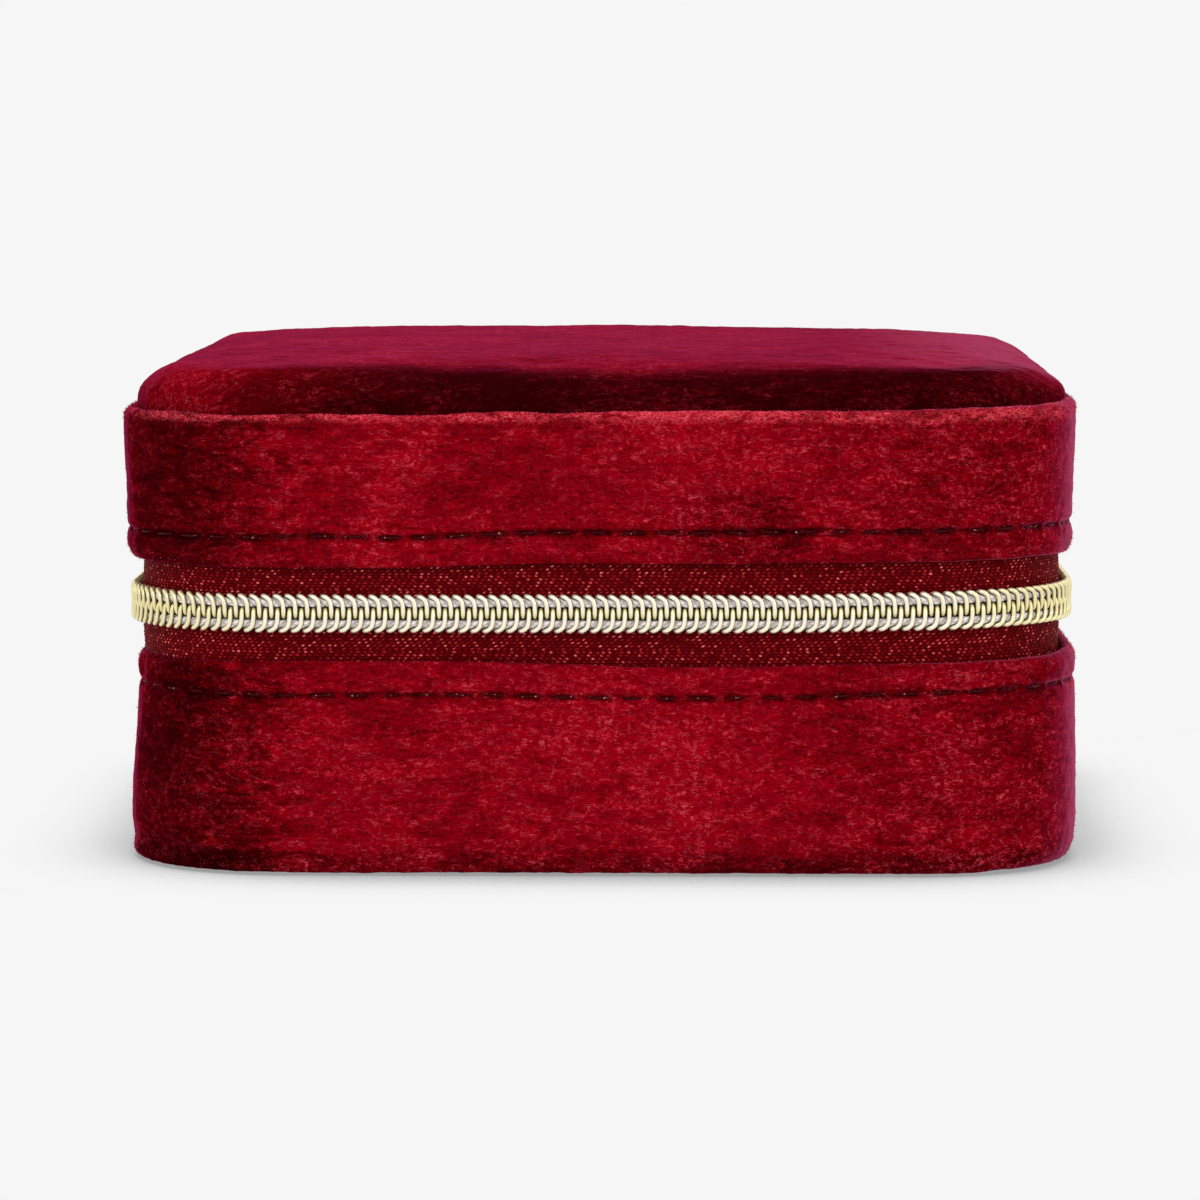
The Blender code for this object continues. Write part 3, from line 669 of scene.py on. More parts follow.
def fibre(name, colour, sheen):
    """One shade of loose pile fibre; the dark ones carry painted shade and the light ones a
    painted glint.
    """
    mat = Shader(name)
    tone = mat.noise(mat.coords(), scale=0.8)
    colour = mat.mix(mat.remap(tone, over=(0.35, 0.65)), tuple(0.7 * c for c in colour), colour)
    return mat.out(Base_Color=colour, Roughness=0.7, Sheen_Weight=sheen,
                   Sheen_Tint=(1, 0.15, 0.3), Specular_IOR_Level=0.0)


# streaks and hairs run round the wall, but across the top
VELVET_WALL = velvet("crimson_velvet_wall", streak_scale=(1.0, 1.0, 2.7),
                     hair_scale=(0.50, 0.50, 1.60), brush=wall_brush)
VELVET_TOP = velvet("crimson_velvet_top", streak_scale=(0.8, 2.2, 1.0),
                    hair_scale=(0.40, 1.7, 1.0), brush=top_brush)
TAPE = tape_weave()
COIL = coil_metal()
CORD = yarn("filler_cord", dark=(0.36, 0.30, 0.29), light=(0.97, 0.89, 0.84),
            glint=(0.98, 0.94, 0.88), sheen=(1, 0.8, 0.8), rough=0.6, specular=0.3, reach=0.75)
# the thread's own crimson is painted near black with the shade of the groove it lies in
THREAD = yarn("crimson_thread", dark=(0.014, 0.0, 0.0004), light=(0.085, 0.0008, 0.003),
              glint=(0.66, 0.20, 0.17), sheen=(1, 0.2, 0.3), rough=0.5, specular=0.05)
GOLD = gold()
SUEDE = plush("blush_suede", ((0.36, 0.15, 0.14), (0.56, 0.29, 0.27), (0.72, 0.42, 0.39)))
SUEDE_DEEP = plush("rose_suede", ((0.30, 0.11, 0.11), (0.48, 0.22, 0.21), (0.63, 0.34, 0.32)),
                   scale=5.0)
SATIN = plush("gathered_satin", ((0.36, 0.12, 0.13), (0.53, 0.22, 0.22), (0.70, 0.36, 0.35)),
              scale=9.0, depth=0.05, weight=0.2, rough=0.42)
BOARD = plush("grey_board", ((0.30, 0.28, 0.25), (0.43, 0.40, 0.36), (0.55, 0.52, 0.47)),
              scale=3.0, sheen=(1, 1, 1), weight=0.05)
FOAM = plush("open_cell_foam", ((0.62, 0.60, 0.54), (0.80, 0.78, 0.72), (0.90, 0.88, 0.84)),
             scale=4.0, sheen=(1, 1, 1), depth=0.25, weight=0.1)
MIRROR = mirror_glass()
# dark fibres carry painted shade, mid ones the own colour, light ones a painted glint
FIBRES = [fibre("pile_painted_shade", colour=(0.14, 0.0, 0.004), sheen=0.05),
          fibre("pile_mid", colour=(0.34, 0.002, 0.012), sheen=0.1),
          fibre("pile_painted_glint", colour=(0.60, 0.055, 0.11), sheen=0.2)]

# ---------------------------------------------------------------- velvet side bands
RING_COUNT = int(1500 * FINE)
RING_RUN = np.arange(RING_COUNT) * TOTAL / RING_COUNT


def stitch_wave(run, seed):
    """High in the middle of each stitch, 0 where the needle goes through."""
    index = np.floor(run / STITCH)
    lot = hash3(index, index * 0, index * 0, seed)
    return np.sin(np.pi * (run / STITCH - index)) ** 0.7 * (0.72 + 0.5 * lot)


def line_wobble(run, seed, amp):
    return amp * (0.7 * line_noise(run, 34.0, seed) + 0.3 * line_noise(run, 9.0, seed + 3))


def side_shift(x, z, body):
    """How far the soft side stands out (negative: is drawn in) at left and right."""
    left, right = smooth(-30.0, -49.0, x), smooth(30.0, 49.0, x)
    if body == "lid":
        return 0.38 * left * smooth(34.0, 36.0, z)
    tuck = TUCK * (0.3 + 0.7 * smooth(5.0, 21.0, z)) * left
    return smooth(0.5, 2.0, z) * (0.42 * right - tuck)


def corner_share(run):
    """1 at the middle of each rounded corner, 0 along the straight sides."""
    middles = np.array([0.5 * (ENDS[k] + ENDS[k + 1]) for k in ARCS])
    away = np.abs(np.mod(run, TOTAL)[..., None] - middles)
    return np.max(smooth(0.62 * ARC, 0.12 * ARC, away), -1)


def velvet_band(body, outer, inner, groove_z, hem_z, seed):
    """A band round base or lid from (off, z) points up its outside and down its inside."""
    profile = np.array(outer + inner)
    off, z = profile[:, 0][None, :], profile[:, 1][None, :]
    hem_side = 1 if hem_z > groove_z else -1
    is_outer = (np.arange(len(profile)) < len(outer)).astype(float)[None, :]

    # wander of the groove, the hem and the rim
    near = np.exp(-((z - groove_z) / 3.2) ** 2)
    height = z + line_wobble(RING_RUN, seed, WOBBLE)[:, None] * near
    hem = smooth(groove_z, hem_z, z)
    height = height + hem * line_wobble(RING_RUN, seed + 9, 0.42)[:, None]
    rim_wave = (0.16 * line_noise(RING_RUN, 21.0, seed + 31)
                + 0.13 * line_noise(RING_RUN, 7.0, seed + 32)
                + 0.07 * line_noise(RING_RUN, 2.6, seed + 33))
    height = height + smooth(48.6, 50.4, z) * rim_wave[:, None]

    guide_x = guide(RING_RUN)[0][:, None]
    spread = is_outer * smooth(1.0, 1.9, off) * side_shift(guide_x * 1.04, height, body)
    turned = corner_share(RING_RUN)[:, None] * smooth(48.6, 51.4, z)
    points = at_out(RING_RUN[:, None], off + spread - 0.20 * turned * is_outer, height)

    # relief: crushed pile, the stitched groove, puffs and pleats beside it
    relief = (0.10 * fbm(points, (9.0, 9.0, 6.0), seed)
              + 0.055 * vnoise(points, (1.5, 1.5, 0.8), seed + 5)
              + 0.035 * vnoise(points, (0.62, 0.62, 0.5), seed + 6))
    wave = stitch_wave(RING_RUN, seed)[:, None]
    relief = relief - np.exp(-((z - groove_z) / 0.36) ** 2) * (0.16 + 0.32 * wave)
    puff = np.exp(-((z - (groove_z + hem_side * 1.9)) / 1.15) ** 2)
    puff_noise = vnoise(points, (3.4, 3.4, 3.0), seed + 8)
    relief = relief + puff * (0.02 + 0.07 * (1 - wave) + 0.14 * puff_noise)
    pleat = smooth(0.25, 0.8, line_noise(RING_RUN, 13.0, seed + 21))[:, None]
    crease = np.sin(RING_RUN / 1.05 + 2.0 * np.sin(RING_RUN / 7.0))[:, None]
    beside = np.exp(-((z - (groove_z + hem_side * 0.9)) / 1.8) ** 2)
    relief = (relief + beside * pleat * 0.09 * crease) * is_outer

    # sunk: painted shade along the stitched groove, read by the velvet
    ragged = 0.62 + 0.55 * vnoise(points, (1.1, 1.1, 0.4), seed + 41)
    sunk = (np.exp(-((z - groove_z) / 0.37) ** 2) * (0.42 + 0.58 * smooth(0.30, 0.75, wave))
            * ragged * is_outer)
    normals = normals_of(points, True, True)
    points = points + normals * relief[..., None]
    points[..., 2] = np.maximum(points[..., 2], 0.0)
    band = make_mesh(f"{body}_side_velvet_pile", points,
                     grid_faces(RING_COUNT, len(profile), True, True), VELVET_WALL,
                     {"sunk": np.clip(sunk, 0, 1)})
    place(band, body, "velvet", f"{body}_side_velvet")
    return points, normals


def span(start, end, step):
    return np.linspace(start, end, max(2, int(round(abs(end - start) / step)) + 1))


def column(off, start, end, step):
    """(off, z) points at one offset."""
    return [(off, float(z)) for z in span(start, end, step)]


def groove(off, depth, stitch_z, start, end):
    return [(off - depth * math.exp(-((z - stitch_z) / 0.7) ** 2), float(z))
            for z in span(start, end, 0.13)]


# (off, z) outlines: the base from its bottom edge up the wall and round the hem
BASE_OUTER = [(1.25, 0.12), (1.62, 0.06), (1.98, 0.10), (2.30, 0.34), (2.50, 0.80)]
BASE_OUTER += [(2.52 + 0.28 * smooth(1.2, 5.0, z) - 0.30 * smooth(5.0, 21.0, z), float(z))
               for z in span(1.5, 18.9, 0.42 / FINE)]
BASE_OUTER += groove(2.51, 0.06, BASE_STITCH_Z, 19.1, 20.8)
BASE_OUTER += [(2.51, 21.1), (2.52, 21.7), (2.49, 22.25), (2.39, 22.75), (2.20, 23.15),
               (1.95, 23.40), (1.68, 23.48), (1.45, 23.25)]
BASE_INNER = [(1.40, 21.0), (1.40, 16.0), (1.38, 10.0), (1.30, 4.0), (1.22, 0.8)]

# the lid from the hem's inner lip, under and out, up to the rim seam
RIM_OFF, RIM_RADIUS, WALL_FLARE = 2.80, 1.0, 0.36
LID_OUTER = [(1.45, 34.75), (1.62, 34.50), (1.86, 34.40), (2.08, 34.52), (2.26, 34.85),
             (2.38, 35.3), (2.44, 35.8), (2.46, 36.3), (2.45, 36.7)]
LID_OUTER += groove(2.44, 0.05, LID_STITCH_Z, 36.9, 38.6)
LID_OUTER += [(2.44 + WALL_FLARE * smooth(38.5, 50.0, z), float(z))
              for z in span(38.9, RIM_Z - RIM_RADIUS, 0.42 / FINE)]
LID_OUTER += [(RIM_OFF - RIM_RADIUS * (1 - math.cos(a)), RIM_Z - RIM_RADIUS * (1 - math.sin(a)))
              for a in np.linspace(0.15, 1.45, 8)]
LID_OUTER += [(1.70, 51.64), (1.52, 51.44)]
LID_INNER = [(1.46, 50.9), (1.42, 49.8), (1.40, 47.0), (1.38, 42.0), (1.38, 38.0)]

BASE_SEED, LID_SEED = 11, 29
base_band = velvet_band("base", BASE_OUTER, BASE_INNER, BASE_STITCH_Z, BASE_HEM_Z, BASE_SEED)
lid_band = velvet_band("lid", LID_OUTER, LID_INNER, LID_STITCH_Z, LID_HEM_Z, LID_SEED)

# ---------------------------------------------------------------- padded top
TOP_EDGE, TOP_SEAM_Z = 1.70, 51.4
TOP_GRID = 91
CROWN, SHOULDER = 3.55, 2.9
CROWN_SHARE = 0.93
AIR_CAP = 0.85        # most the air may lift the top


def square_grid(count, edge):
    """A square grid of points mapped into the rounded square at offset edge."""
    line = np.linspace(-1, 1, count)
    gx, gy = np.meshgrid(line, line, indexing="ij")
    theta = np.arctan2(gy, gx)
    cos, sin = np.abs(np.cos(theta)), np.abs(np.sin(theta))
    half, radius = HALF + edge, CORNER + edge
    core = half - radius
    # a ray from the centre meets a flat side or a corner circle
    flat = half / np.maximum(cos, sin)
    middle = core * (cos + sin)
    disc = np.maximum(middle * middle - (2 * core * core - radius * radius), 0)
    reach = np.where(np.minimum(cos, sin) * flat > core, middle + np.sqrt(disc), flat)
    share = np.sqrt(gx * gx + gy * gy) / (1 / np.maximum(cos, sin))
    return np.cos(theta) * share * reach, np.sin(theta) * share * reach


def box_distance(x, y, half_x, half_y, radius):
    """Signed distance from a rounded rectangle, positive outside."""
    qx, qy = np.abs(x) - (half_x - radius), np.abs(y) - (half_y - radius)
    outside = np.sqrt(np.maximum(qx, 0) ** 2 + np.maximum(qy, 0) ** 2)
    return outside + np.minimum(np.maximum(qx, qy), 0) - radius


def edge_gap(x, y, edge):
    """Distance inwards from the rounded square at offset edge."""
    return -box_distance(x, y, HALF + edge, HALF + edge, CORNER + edge)


def crown_height(gap, x):
    """Height above the seam: a steep shoulder, then nearly flat; fuller at the left."""
    gap = np.maximum(gap, 0.0)
    left, right = smooth(-8.0, -38.0, x), smooth(12.0, 42.0, x)
    shoulder = SHOULDER - 1.2 * left - 1.2 * right
    power = 1.15 + 0.35 * left + 0.15 * right
    full = CROWN + 0.30 * left - rim_settle(x) / CROWN_SHARE
    rise = full * (1 - np.exp(-(gap / shoulder) ** power))
    return rise + (0.55 - 0.15 * left) * smooth(4.0, 26.0, gap)


def inflate(points, pins, pressure, frames, cap):
    """Cloth simulation: the pinned seam is held and air pushes the sheet out.

    Each point's move is capped at cap mm; returns the moved points.
    """
    rows, cols = points.shape[:2]
    obj = make_mesh("padded_top_raw", points, grid_faces(rows, cols, False, False), VELVET_TOP)
    group = obj.vertex_groups.new(name="seam")
    for i, weight in enumerate(pins):
        if weight > 0:
            group.add([i], float(weight), "REPLACE")
    start = np.zeros(rows * cols * 3)
    obj.data.vertices.foreach_get("co", start)
    cloth = obj.modifiers.new("cloth", "CLOTH")
    for key, value in dict(
            quality=5, mass=0.15, tension_stiffness=18, compression_stiffness=18,
            shear_stiffness=8, bending_stiffness=1.2, vertex_group_mass="seam",
            use_pressure=True, uniform_pressure_force=pressure).items():
        setattr(cloth.settings, key, value)
    cloth.settings.effector_weights.gravity = 0.0
    cloth.collision_settings.use_collision = False
    cloth.point_cache.frame_start = 1
    cloth.point_cache.frame_end = frames + 1
    scene = bpy.context.scene
    for number in range(1, frames + 1):
        scene.frame_set(number)
    graph = bpy.context.evaluated_depsgraph_get()
    moved = np.zeros_like(start)
    obj.evaluated_get(graph).data.vertices.foreach_get("co", moved)
    obj.modifiers.remove(cloth)
    scene.frame_set(1)
    bpy.data.objects.remove(obj, do_unlink=True)
    move = (moved - start).reshape(-1, 3)
    length = np.linalg.norm(move, axis=1, keepdims=True)
    move *= np.minimum(1.0, cap * MM / np.maximum(length, 1e-12))
    return ((start.reshape(-1, 3) + np.nan_to_num(move)) / MM).reshape(points.shape)


def refine(points, times):
    """Linear upsampling of a square grid, then smoothing."""
    count = points.shape[0]
    where = np.linspace(0, count - 1, (count - 1) * times + 1)
    i = np.minimum(where.astype(int), count - 2)
    part = (where - i)[:, None, None]
    for _ in range(2):
        points = (points[i] * (1 - part) + points[i + 1] * part).transpose(1, 0, 2)
    for _ in range(times):
        points[1:-1, 1:-1] = 0.5 * points[1:-1, 1:-1] + 0.125 * (
            points[2:, 1:-1] + points[:-2, 1:-1] + points[1:-1, 2:] + points[1:-1, :-2])
    return points


def padded_top():
    x, y = square_grid(TOP_GRID, TOP_EDGE)
    gap = edge_gap(x, y, TOP_EDGE)
    sheet = vec(x, y, TOP_SEAM_Z + rim_settle(x) + crown_height(gap, x) * CROWN_SHARE)
    pins = np.clip(1.0 - gap.ravel() / 2.2, 0, 1)
    blown = inflate(sheet, pins, pressure=2.4, frames=20, cap=0.9)
    lift = blown[..., 2] - sheet[..., 2]
    sheet = sheet + (blown - sheet) * AIR_CAP / max(lift.max(), AIR_CAP)

    sheet = refine(sheet, 3)
    x, y = sheet[..., 0], sheet[..., 1]
    gap = edge_gap(x, y, TOP_EDGE)
    relief = (0.16 * fbm(sheet, (15.0, 11.0, 15.0), 41)
              + 0.06 * vnoise(sheet, (2.2, 1.4, 2.0), 42) + 0.04 * vnoise(sheet, 0.8, 43))
    # the seam tugs small dents into the edge
    tug = smooth(6.5, 0.6, gap) * smooth(0.0, 0.5, gap)
    relief -= tug * 0.11 * (0.5 + 0.5 * line_noise(np.arctan2(y, x) * 30, 1.0, 44))
    relief *= smooth(-0.2, 0.8, gap)
    sheet = sheet + normals_of(sheet, False, False) * relief[..., None]
    # the padding bulges out over the seam at the two sides
    x, y = sheet[..., 0], sheet[..., 1]
    bulge = (0.85 * np.exp(-((gap - 1.3) / 1.0) ** 2) * smooth(0.0, 0.5, gap)
             * smooth(34.0, 46.0, np.abs(x)))
    x += bulge * np.sign(x)

    # painted shade where the pile lies downhill: most on the front shoulder
    facing_front = smooth(-28.0, -38.0, y)
    front = facing_front * (0.05 + 0.95 * smooth(-46.0, -16.0, x) * smooth(54.0, 40.0, x))
    reach = 7.2 + 1.2 * line_noise(x, 16.0, 47)
    lean = smooth(reach + 4.2, reach - 3.4, gap) * front
    lean += 0.30 * smooth(3.4, 0.6, gap) * (1 - front)
    lean += 0.35 * smooth(2.2, 0.5, gap) * facing_front * smooth(-36.0, -16.0, x)
    top = make_shell("lid_top_velvet_pile", sheet, 0.45, VELVET_TOP,
                     {"shoulder_shade": np.tile(lean.ravel(), 2)})
    place(top, "lid", "velvet", "lid_top_velvet")


padded_top()


# ---------------------------------------------------------------- bottom panel
def bottom_panel():
    edge = 1.15
    x, y = square_grid(121, edge)
    z = 0.06 + 0.85 * (1 - smooth(0.0, 1.2, edge_gap(x, y, edge))) ** 2
    sheet = vec(x, y, np.maximum(z + 0.04 * (fbm(vec(x, y, z), 3.0, 55) + 1), 0.0))
    place(make_shell("base_bottom_velvet_pile", sheet[:, ::-1], 0.75, VELVET_TOP),
          "base", "velvet", "base_bottom_velvet")


bottom_panel()

# ---------------------------------------------------------------- loose pile fibres
FIBRE_COUNT = int(26000 * (1))
FIBRE_LENGTH, FIBRE_HALF_WIDTH, FIBRE_ROOT = 0.36, 0.030, 0.05


def pile_fibres(body, band, outer_weight, seed):
    """Short fibres on a band, one thin triangle each, leaning with the pile."""
    points, normals = band
    rng = np.random.default_rng(seed)
    count = FIBRE_COUNT
    rows, cols = points.shape[:2]
    weight = np.zeros(cols)
    weight[:len(outer_weight)] = outer_weight
    corner = points[:, :-1]
    beside = np.roll(points, -1, 0)[:, :-1]
    area = np.linalg.norm(np.cross(beside - corner, points[:, 1:] - corner), axis=-1)
    chance = np.cumsum((area * weight[None, :cols - 1]).ravel())
    chance /= chance[-1]
    pick = np.searchsorted(chance, rng.random(count))
    i, j = pick // (cols - 1), pick % (cols - 1)
    i2 = (i + 1) % rows
    f = rng.random(count)[:, None]
    g = rng.random(count)[:, None]
    root = ((points[i, j] * (1 - f) + points[i2, j] * f) * (1 - g)
            + (points[i, j + 1] * (1 - f) + points[i2, j + 1] * f) * g)
    normal = normals[i, j]
    along = unit(points[i2, j] - points[i, j], 1e-9)
    jitter = rng.normal(0, 0.42, (count, 3))
    lean = rng.normal(0.25, 0.45, count)[:, None]
    way = normal + along * lean + jitter
    way /= np.linalg.norm(way, axis=1, keepdims=True)
    length = FIBRE_LENGTH * (0.45 + 0.75 * rng.random(count))[:, None]
    side = unit(np.cross(way, rng.normal(0, 1, (count, 3))), 1e-9) * FIBRE_HALF_WIDTH
    root = root - normal * FIBRE_ROOT
    verts = np.stack([root - side, root + side, root + way * length], 1).reshape(-1, 3)
    verts[:, 2] = np.maximum(verts[:, 2], 0.02)
    shades = rng.choice(len(FIBRES), count, p=[0.22, 0.50, 0.28])
    obj = make_mesh(f"{body}_pile_fibres", verts, np.arange(count * 3).reshape(-1, 3), FIBRES,
                    smooth_shade=False, mat_index=shades)
    place(obj, body, "velvet")


# fibres are few on the walls and dense on the hems, the foot and the rim
base_z = np.array(BASE_OUTER)[:, 1]
lid_z = np.array(LID_OUTER)[:, 1]
pile_fibres("base", base_band, 0.10 + (1.0 * (base_z > 21.5) + 0.7 * (base_z < 1.6)), seed=5)
pile_fibres("lid", lid_band, 0.10 + 1.0 * (lid_z < 36.0) + 2.0 * (lid_z > 50.0), seed=6)

# ---------------------------------------------------------------- zip
ZIP_START, ZIP_END = 31.6, TOTAL - 31.6       # run lengths of the tapes' ends
TAPE_ROW, TAPE_ROWS, FLOAT_STEP = 0.36, 17, 0.70
LOOP_PITCH = 1.30
COIL_OFF = 1.88                               # mid plane of the coil
WIRE_RADIUS = 0.265
CORD_RADIUS, CORD_TWIST = 0.40, 2.9
# one loop's centre line: (along, across from the zip's middle to this tape, outwards)
LOOP_FACE = [(-0.98, 1.90, 0.02), (-0.84, 1.89, 0.28), (-0.50, 1.78, 0.385),
             (-0.21, 1.50, 0.40), (-0.06, 1.10, 0.39), (-0.01, 0.60, 0.37),
             (0.0, 0.05, 0.33), (0.0, -0.30, 0.24), (0.02, -0.54, 0.0)]
LOOP_BACK = [(0.05, -0.30, -0.26), (0.09, 0.10, -0.33), (0.16, 0.75, -0.36),
             (0.24, 1.35, -0.35), (0.29, 1.75, -0.26)]


def tape(row, sign, body, seed):
    """Herringbone tape from the chain out to behind the velvet."""
    width = TAPE_ROWS * TAPE_ROW
    lines = np.concatenate([np.arange(0, width, TAPE_ROW / (3.0)),
                            [width + 0.6, width + 2.5, width + 5.0]])
    run, across = np.meshgrid(np.arange(ZIP_START, ZIP_END, 0.15), lines,
                              indexing="ij")
    k = np.floor(across / TAPE_ROW)
    slant = np.where(np.floor(k / 5) % 2 == 0, 1.0, -1.0)     # turns every five rows
    place_in_row = run / FLOAT_STEP + slant * (k * 0.31)
    flat = vec(run, across, 0)
    fu = (place_in_row + 0.22 * vnoise(flat, 6.0, seed)) % 1.0 - 0.5
    fv = (across / TAPE_ROW) % 1.0 - 0.5
    fu = fu - 0.35 * fv * slant
    height = np.exp(-((fu / 0.30) ** 2 + (fv / 0.36) ** 2))
    height = height * (0.40 + 0.85 * hash3(np.floor(place_in_row), k, k * 0, seed))
    height = np.clip(height, 0, 1) * (across < width)
    z = ZIP_Z + sign * (0.60 + across)
    off = (1.06 - 0.14 * smooth(2.0, 5.5, across) + 0.10 * height
           + 0.06 * vnoise(flat, 11.0, seed + 2))
    back = at_out(run[:, ::8], 0.60, z[:, ::8])[:, ::-1]
    rings = np.concatenate([at_out(run, off, z), back], 1)
    height = np.concatenate([height, np.zeros(back.shape[:2])], 1)
    if sign < 0:
        rings, height = rings[:, ::-1], height[:, ::-1]
    place(make_capped(f"zip_tape_{row}_woven", rings, TAPE, {"float_h": height}),
          body, "tape", f"zip_tape_{row}")


def coil(row, sign, body, phase):
    """A wire that runs out on the face, turns at the head and returns behind the cord."""
    steps, sides = ((22, 8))
    first = LOOP_FACE[0]
    keys = np.array(LOOP_FACE + LOOP_BACK + [(LOOP_PITCH + first[0], first[1], first[2])])
    spans = np.linalg.norm(np.diff(keys, axis=0), axis=1)
    lengths = np.concatenate([[0], np.cumsum(spans)])
    where = np.linspace(0, lengths[-1], steps + 1)[:-1]
    loop = np.stack([np.interp(where, lengths, keys[:, i]) for i in range(3)], 1)
    count = int((ZIP_END - ZIP_START - 2.4) / LOOP_PITCH)
    starts = ZIP_START + 1.2 + phase * LOOP_PITCH + np.arange(count)[:, None] * LOOP_PITCH
    run = (starts + loop[None, :, 0]).ravel()
    across = np.tile(loop[:, 1], count)
    off = np.tile(loop[:, 2], count)
    for line in (across, off):      # rounds the corners of the centre line
        line[1:-1] = 0.25 * line[:-2] + 0.5 * line[1:-1] + 0.25 * line[2:]
    wander = 0.03 * line_noise(run, 5.0, 71 + sign)
    path = at_out(run, COIL_OFF + off, ZIP_Z + sign * across + wander)
    tangent = np.gradient(path, axis=0)
    tangent /= np.linalg.norm(tangent, axis=1, keepdims=True)
    _, _, nx, ny = guide(run[:1])
    # the wire turns every way, so its side vector is carried along from the start
    side = np.zeros_like(path)
    side[0] = np.cross(tangent[0], (nx[0], ny[0], 0.0))
    side[0] /= np.linalg.norm(side[0])
    for i in range(1, len(path)):
        carried = side[i - 1] - tangent[i] * np.dot(side[i - 1], tangent[i])
        side[i] = carried / np.linalg.norm(carried)
    other = np.cross(tangent, side)
    angle = circle(sides)[None, :, None]
    head = smooth(0.55, -0.35, across)
    radius = (WIRE_RADIUS * (1 + 0.06 * head))[:, None, None]
    rings = path[:, None, :] + radius * (
        np.cos(angle) * side[:, None, :] + np.sin(angle) * other[:, None, :])
    place(make_capped(f"zip_coil_{row}_loops", rings, COIL,
                      {"head": np.repeat(head[:, None], sides, 1)}),
          body, "coil", f"zip_coil_{row}")


def cord(row, sign, body):
    """The twisted three-ply cord that the loops run round."""
    run = np.arange(ZIP_START + 0.4, ZIP_END - 0.4, 0.22)[:, None]
    angle = circle(14)[None, :]
    ply = 3 * (angle + run * 2 * math.pi / CORD_TWIST * sign)
    radius = CORD_RADIUS * (1 + 0.13 * np.cos(ply))
    rings = at_out(run, COIL_OFF + 0.02 + 0.62 * radius * np.cos(angle),
                   ZIP_Z + sign * 1.16 + 1.18 * radius * np.sin(angle))
    place(make_capped(f"zip_cord_{row}_twisted", rings[:, ::-1], CORD, {"ply": ply[:, ::-1]}),
          body, "cord", f"zip_cord_{row}")


UPPER, LOWER = ("upper", 1, "lid"), ("lower", -1, "base")
tape(*UPPER, seed=61)
tape(*LOWER, seed=67)
coil(*UPPER, phase=0.0)
coil(*LOWER, phase=0.5)
cord(*UPPER)
cord(*LOWER)


# ---------------------------------------------------------------- topstitching
def topstitch(body, stitch_z, off, seed):
    """Stitches round the case, each arched with its ends sunk in the pile."""
    tubes, plies = [], []
    angle = circle(8)[None, :]
    share = np.linspace(-1, 1, 11)
    for k in range(STITCH_COUNT):
        lot = hash3(*np.array([[k], [0], [0]]), seed + 1)[0]
        run = (k + np.linspace(0.10, 0.90, 11)) * STITCH
        z = stitch_z + line_wobble(run, seed, WOBBLE) + 0.05 * share * (1 if lot > 0.5 else -1)
        out = (off + 0.22 * lot - 0.55 * np.abs(share) ** 3.0
               + side_shift(guide(run)[0] * 1.04, z, body))
        radius = (0.135 * np.sqrt(np.maximum(1 - np.abs(share) ** 6, 0.08)))[:, None]
        rings = at_out(run[:, None], out[:, None] + radius * np.cos(angle),
                       z[:, None] + radius * np.sin(angle))
        tubes.append(rings[:, ::-1])
        ply = 2 * angle[:, ::-1] + run[:, None] * 9.0
        plies.append(np.concatenate([ply.ravel(), [0, 0]]))
    place(make_threads(f"{body}_topstitch", tubes, plies), body, "thread",
          f"{body}_stitch_thread")


topstitch("base", BASE_STITCH_Z, 2.02, BASE_SEED)
topstitch("lid", LID_STITCH_Z, 1.95, LID_SEED)


# ---------------------------------------------------------------- inside: helpers
def ring_piece(name, profile, mat, body, node, slot, seed, amp):
    """A soft band round the guide from a closed counter-clockwise (off, z) profile."""
    count = int(TOTAL / 0.55 * FINE)
    run = np.arange(count) * TOTAL / count
    profile = np.array(profile)
    points = at(run[:, None], profile[None, :, 0], profile[None, :, 1])
    relief = amp * fbm(points, (7.0, 7.0, 5.0), seed)
    points = points + normals_of(points, True, True) * relief[..., None]
    place(make_mesh(name, points, grid_faces(count, len(profile), True, True), mat),
          body, slot, node)


def bar(name, axis, start, end, section, end_radius, mat, count, seed, amp, width=None):
    """A soft bar: a counter-clockwise (across, z) section along X or Y, ends rounded."""
    turn = end_radius * (1 - np.cos(np.linspace(0, math.pi / 2, 7)))
    middle_part = np.linspace(start + end_radius, end - end_radius, count)[1:-1]
    along = np.concatenate([start + turn, middle_part, end - turn[::-1]])
    section = np.array(section)
    middle = (section.max(0) + section.min(0)) / 2
    half = (section.max(0) - section.min(0)) / 2
    gap = np.minimum(along - start, end - along)
    chord = np.sqrt(np.maximum(1 - (1 - gap / end_radius) ** 2, 0))
    inset = np.where(gap < end_radius, end_radius * (1 - chord), 0.0)
    scale = np.maximum(1 - inset[:, None] / half[None, :], 0.02)
    rings = middle + (section[None] - middle) * scale[:, None, :]
    across, z = rings[..., 0], rings[..., 1]
    if width is not None:
        across = middle[0] + (across - middle[0]) * width(along)[:, None]
    if axis == "X":
        points = vec(along[:, None], across, z)[:, ::-1]
    else:
        points = vec(across, along[:, None], z)
    relief = amp * fbm(points, (5.0, 5.0, 4.0), seed)
    points = points + normals_of(points, False, True) * relief[..., None]
    return make_capped(name, points, mat)


def arc(across, z, radius, start, end, count=7):
    """Points on a circle between two angles in degrees."""
    angles = [math.radians(start + (end - start) * i / count) for i in range(count + 1)]
    return [(across + radius * math.cos(a), z + radius * math.sin(a)) for a in angles]


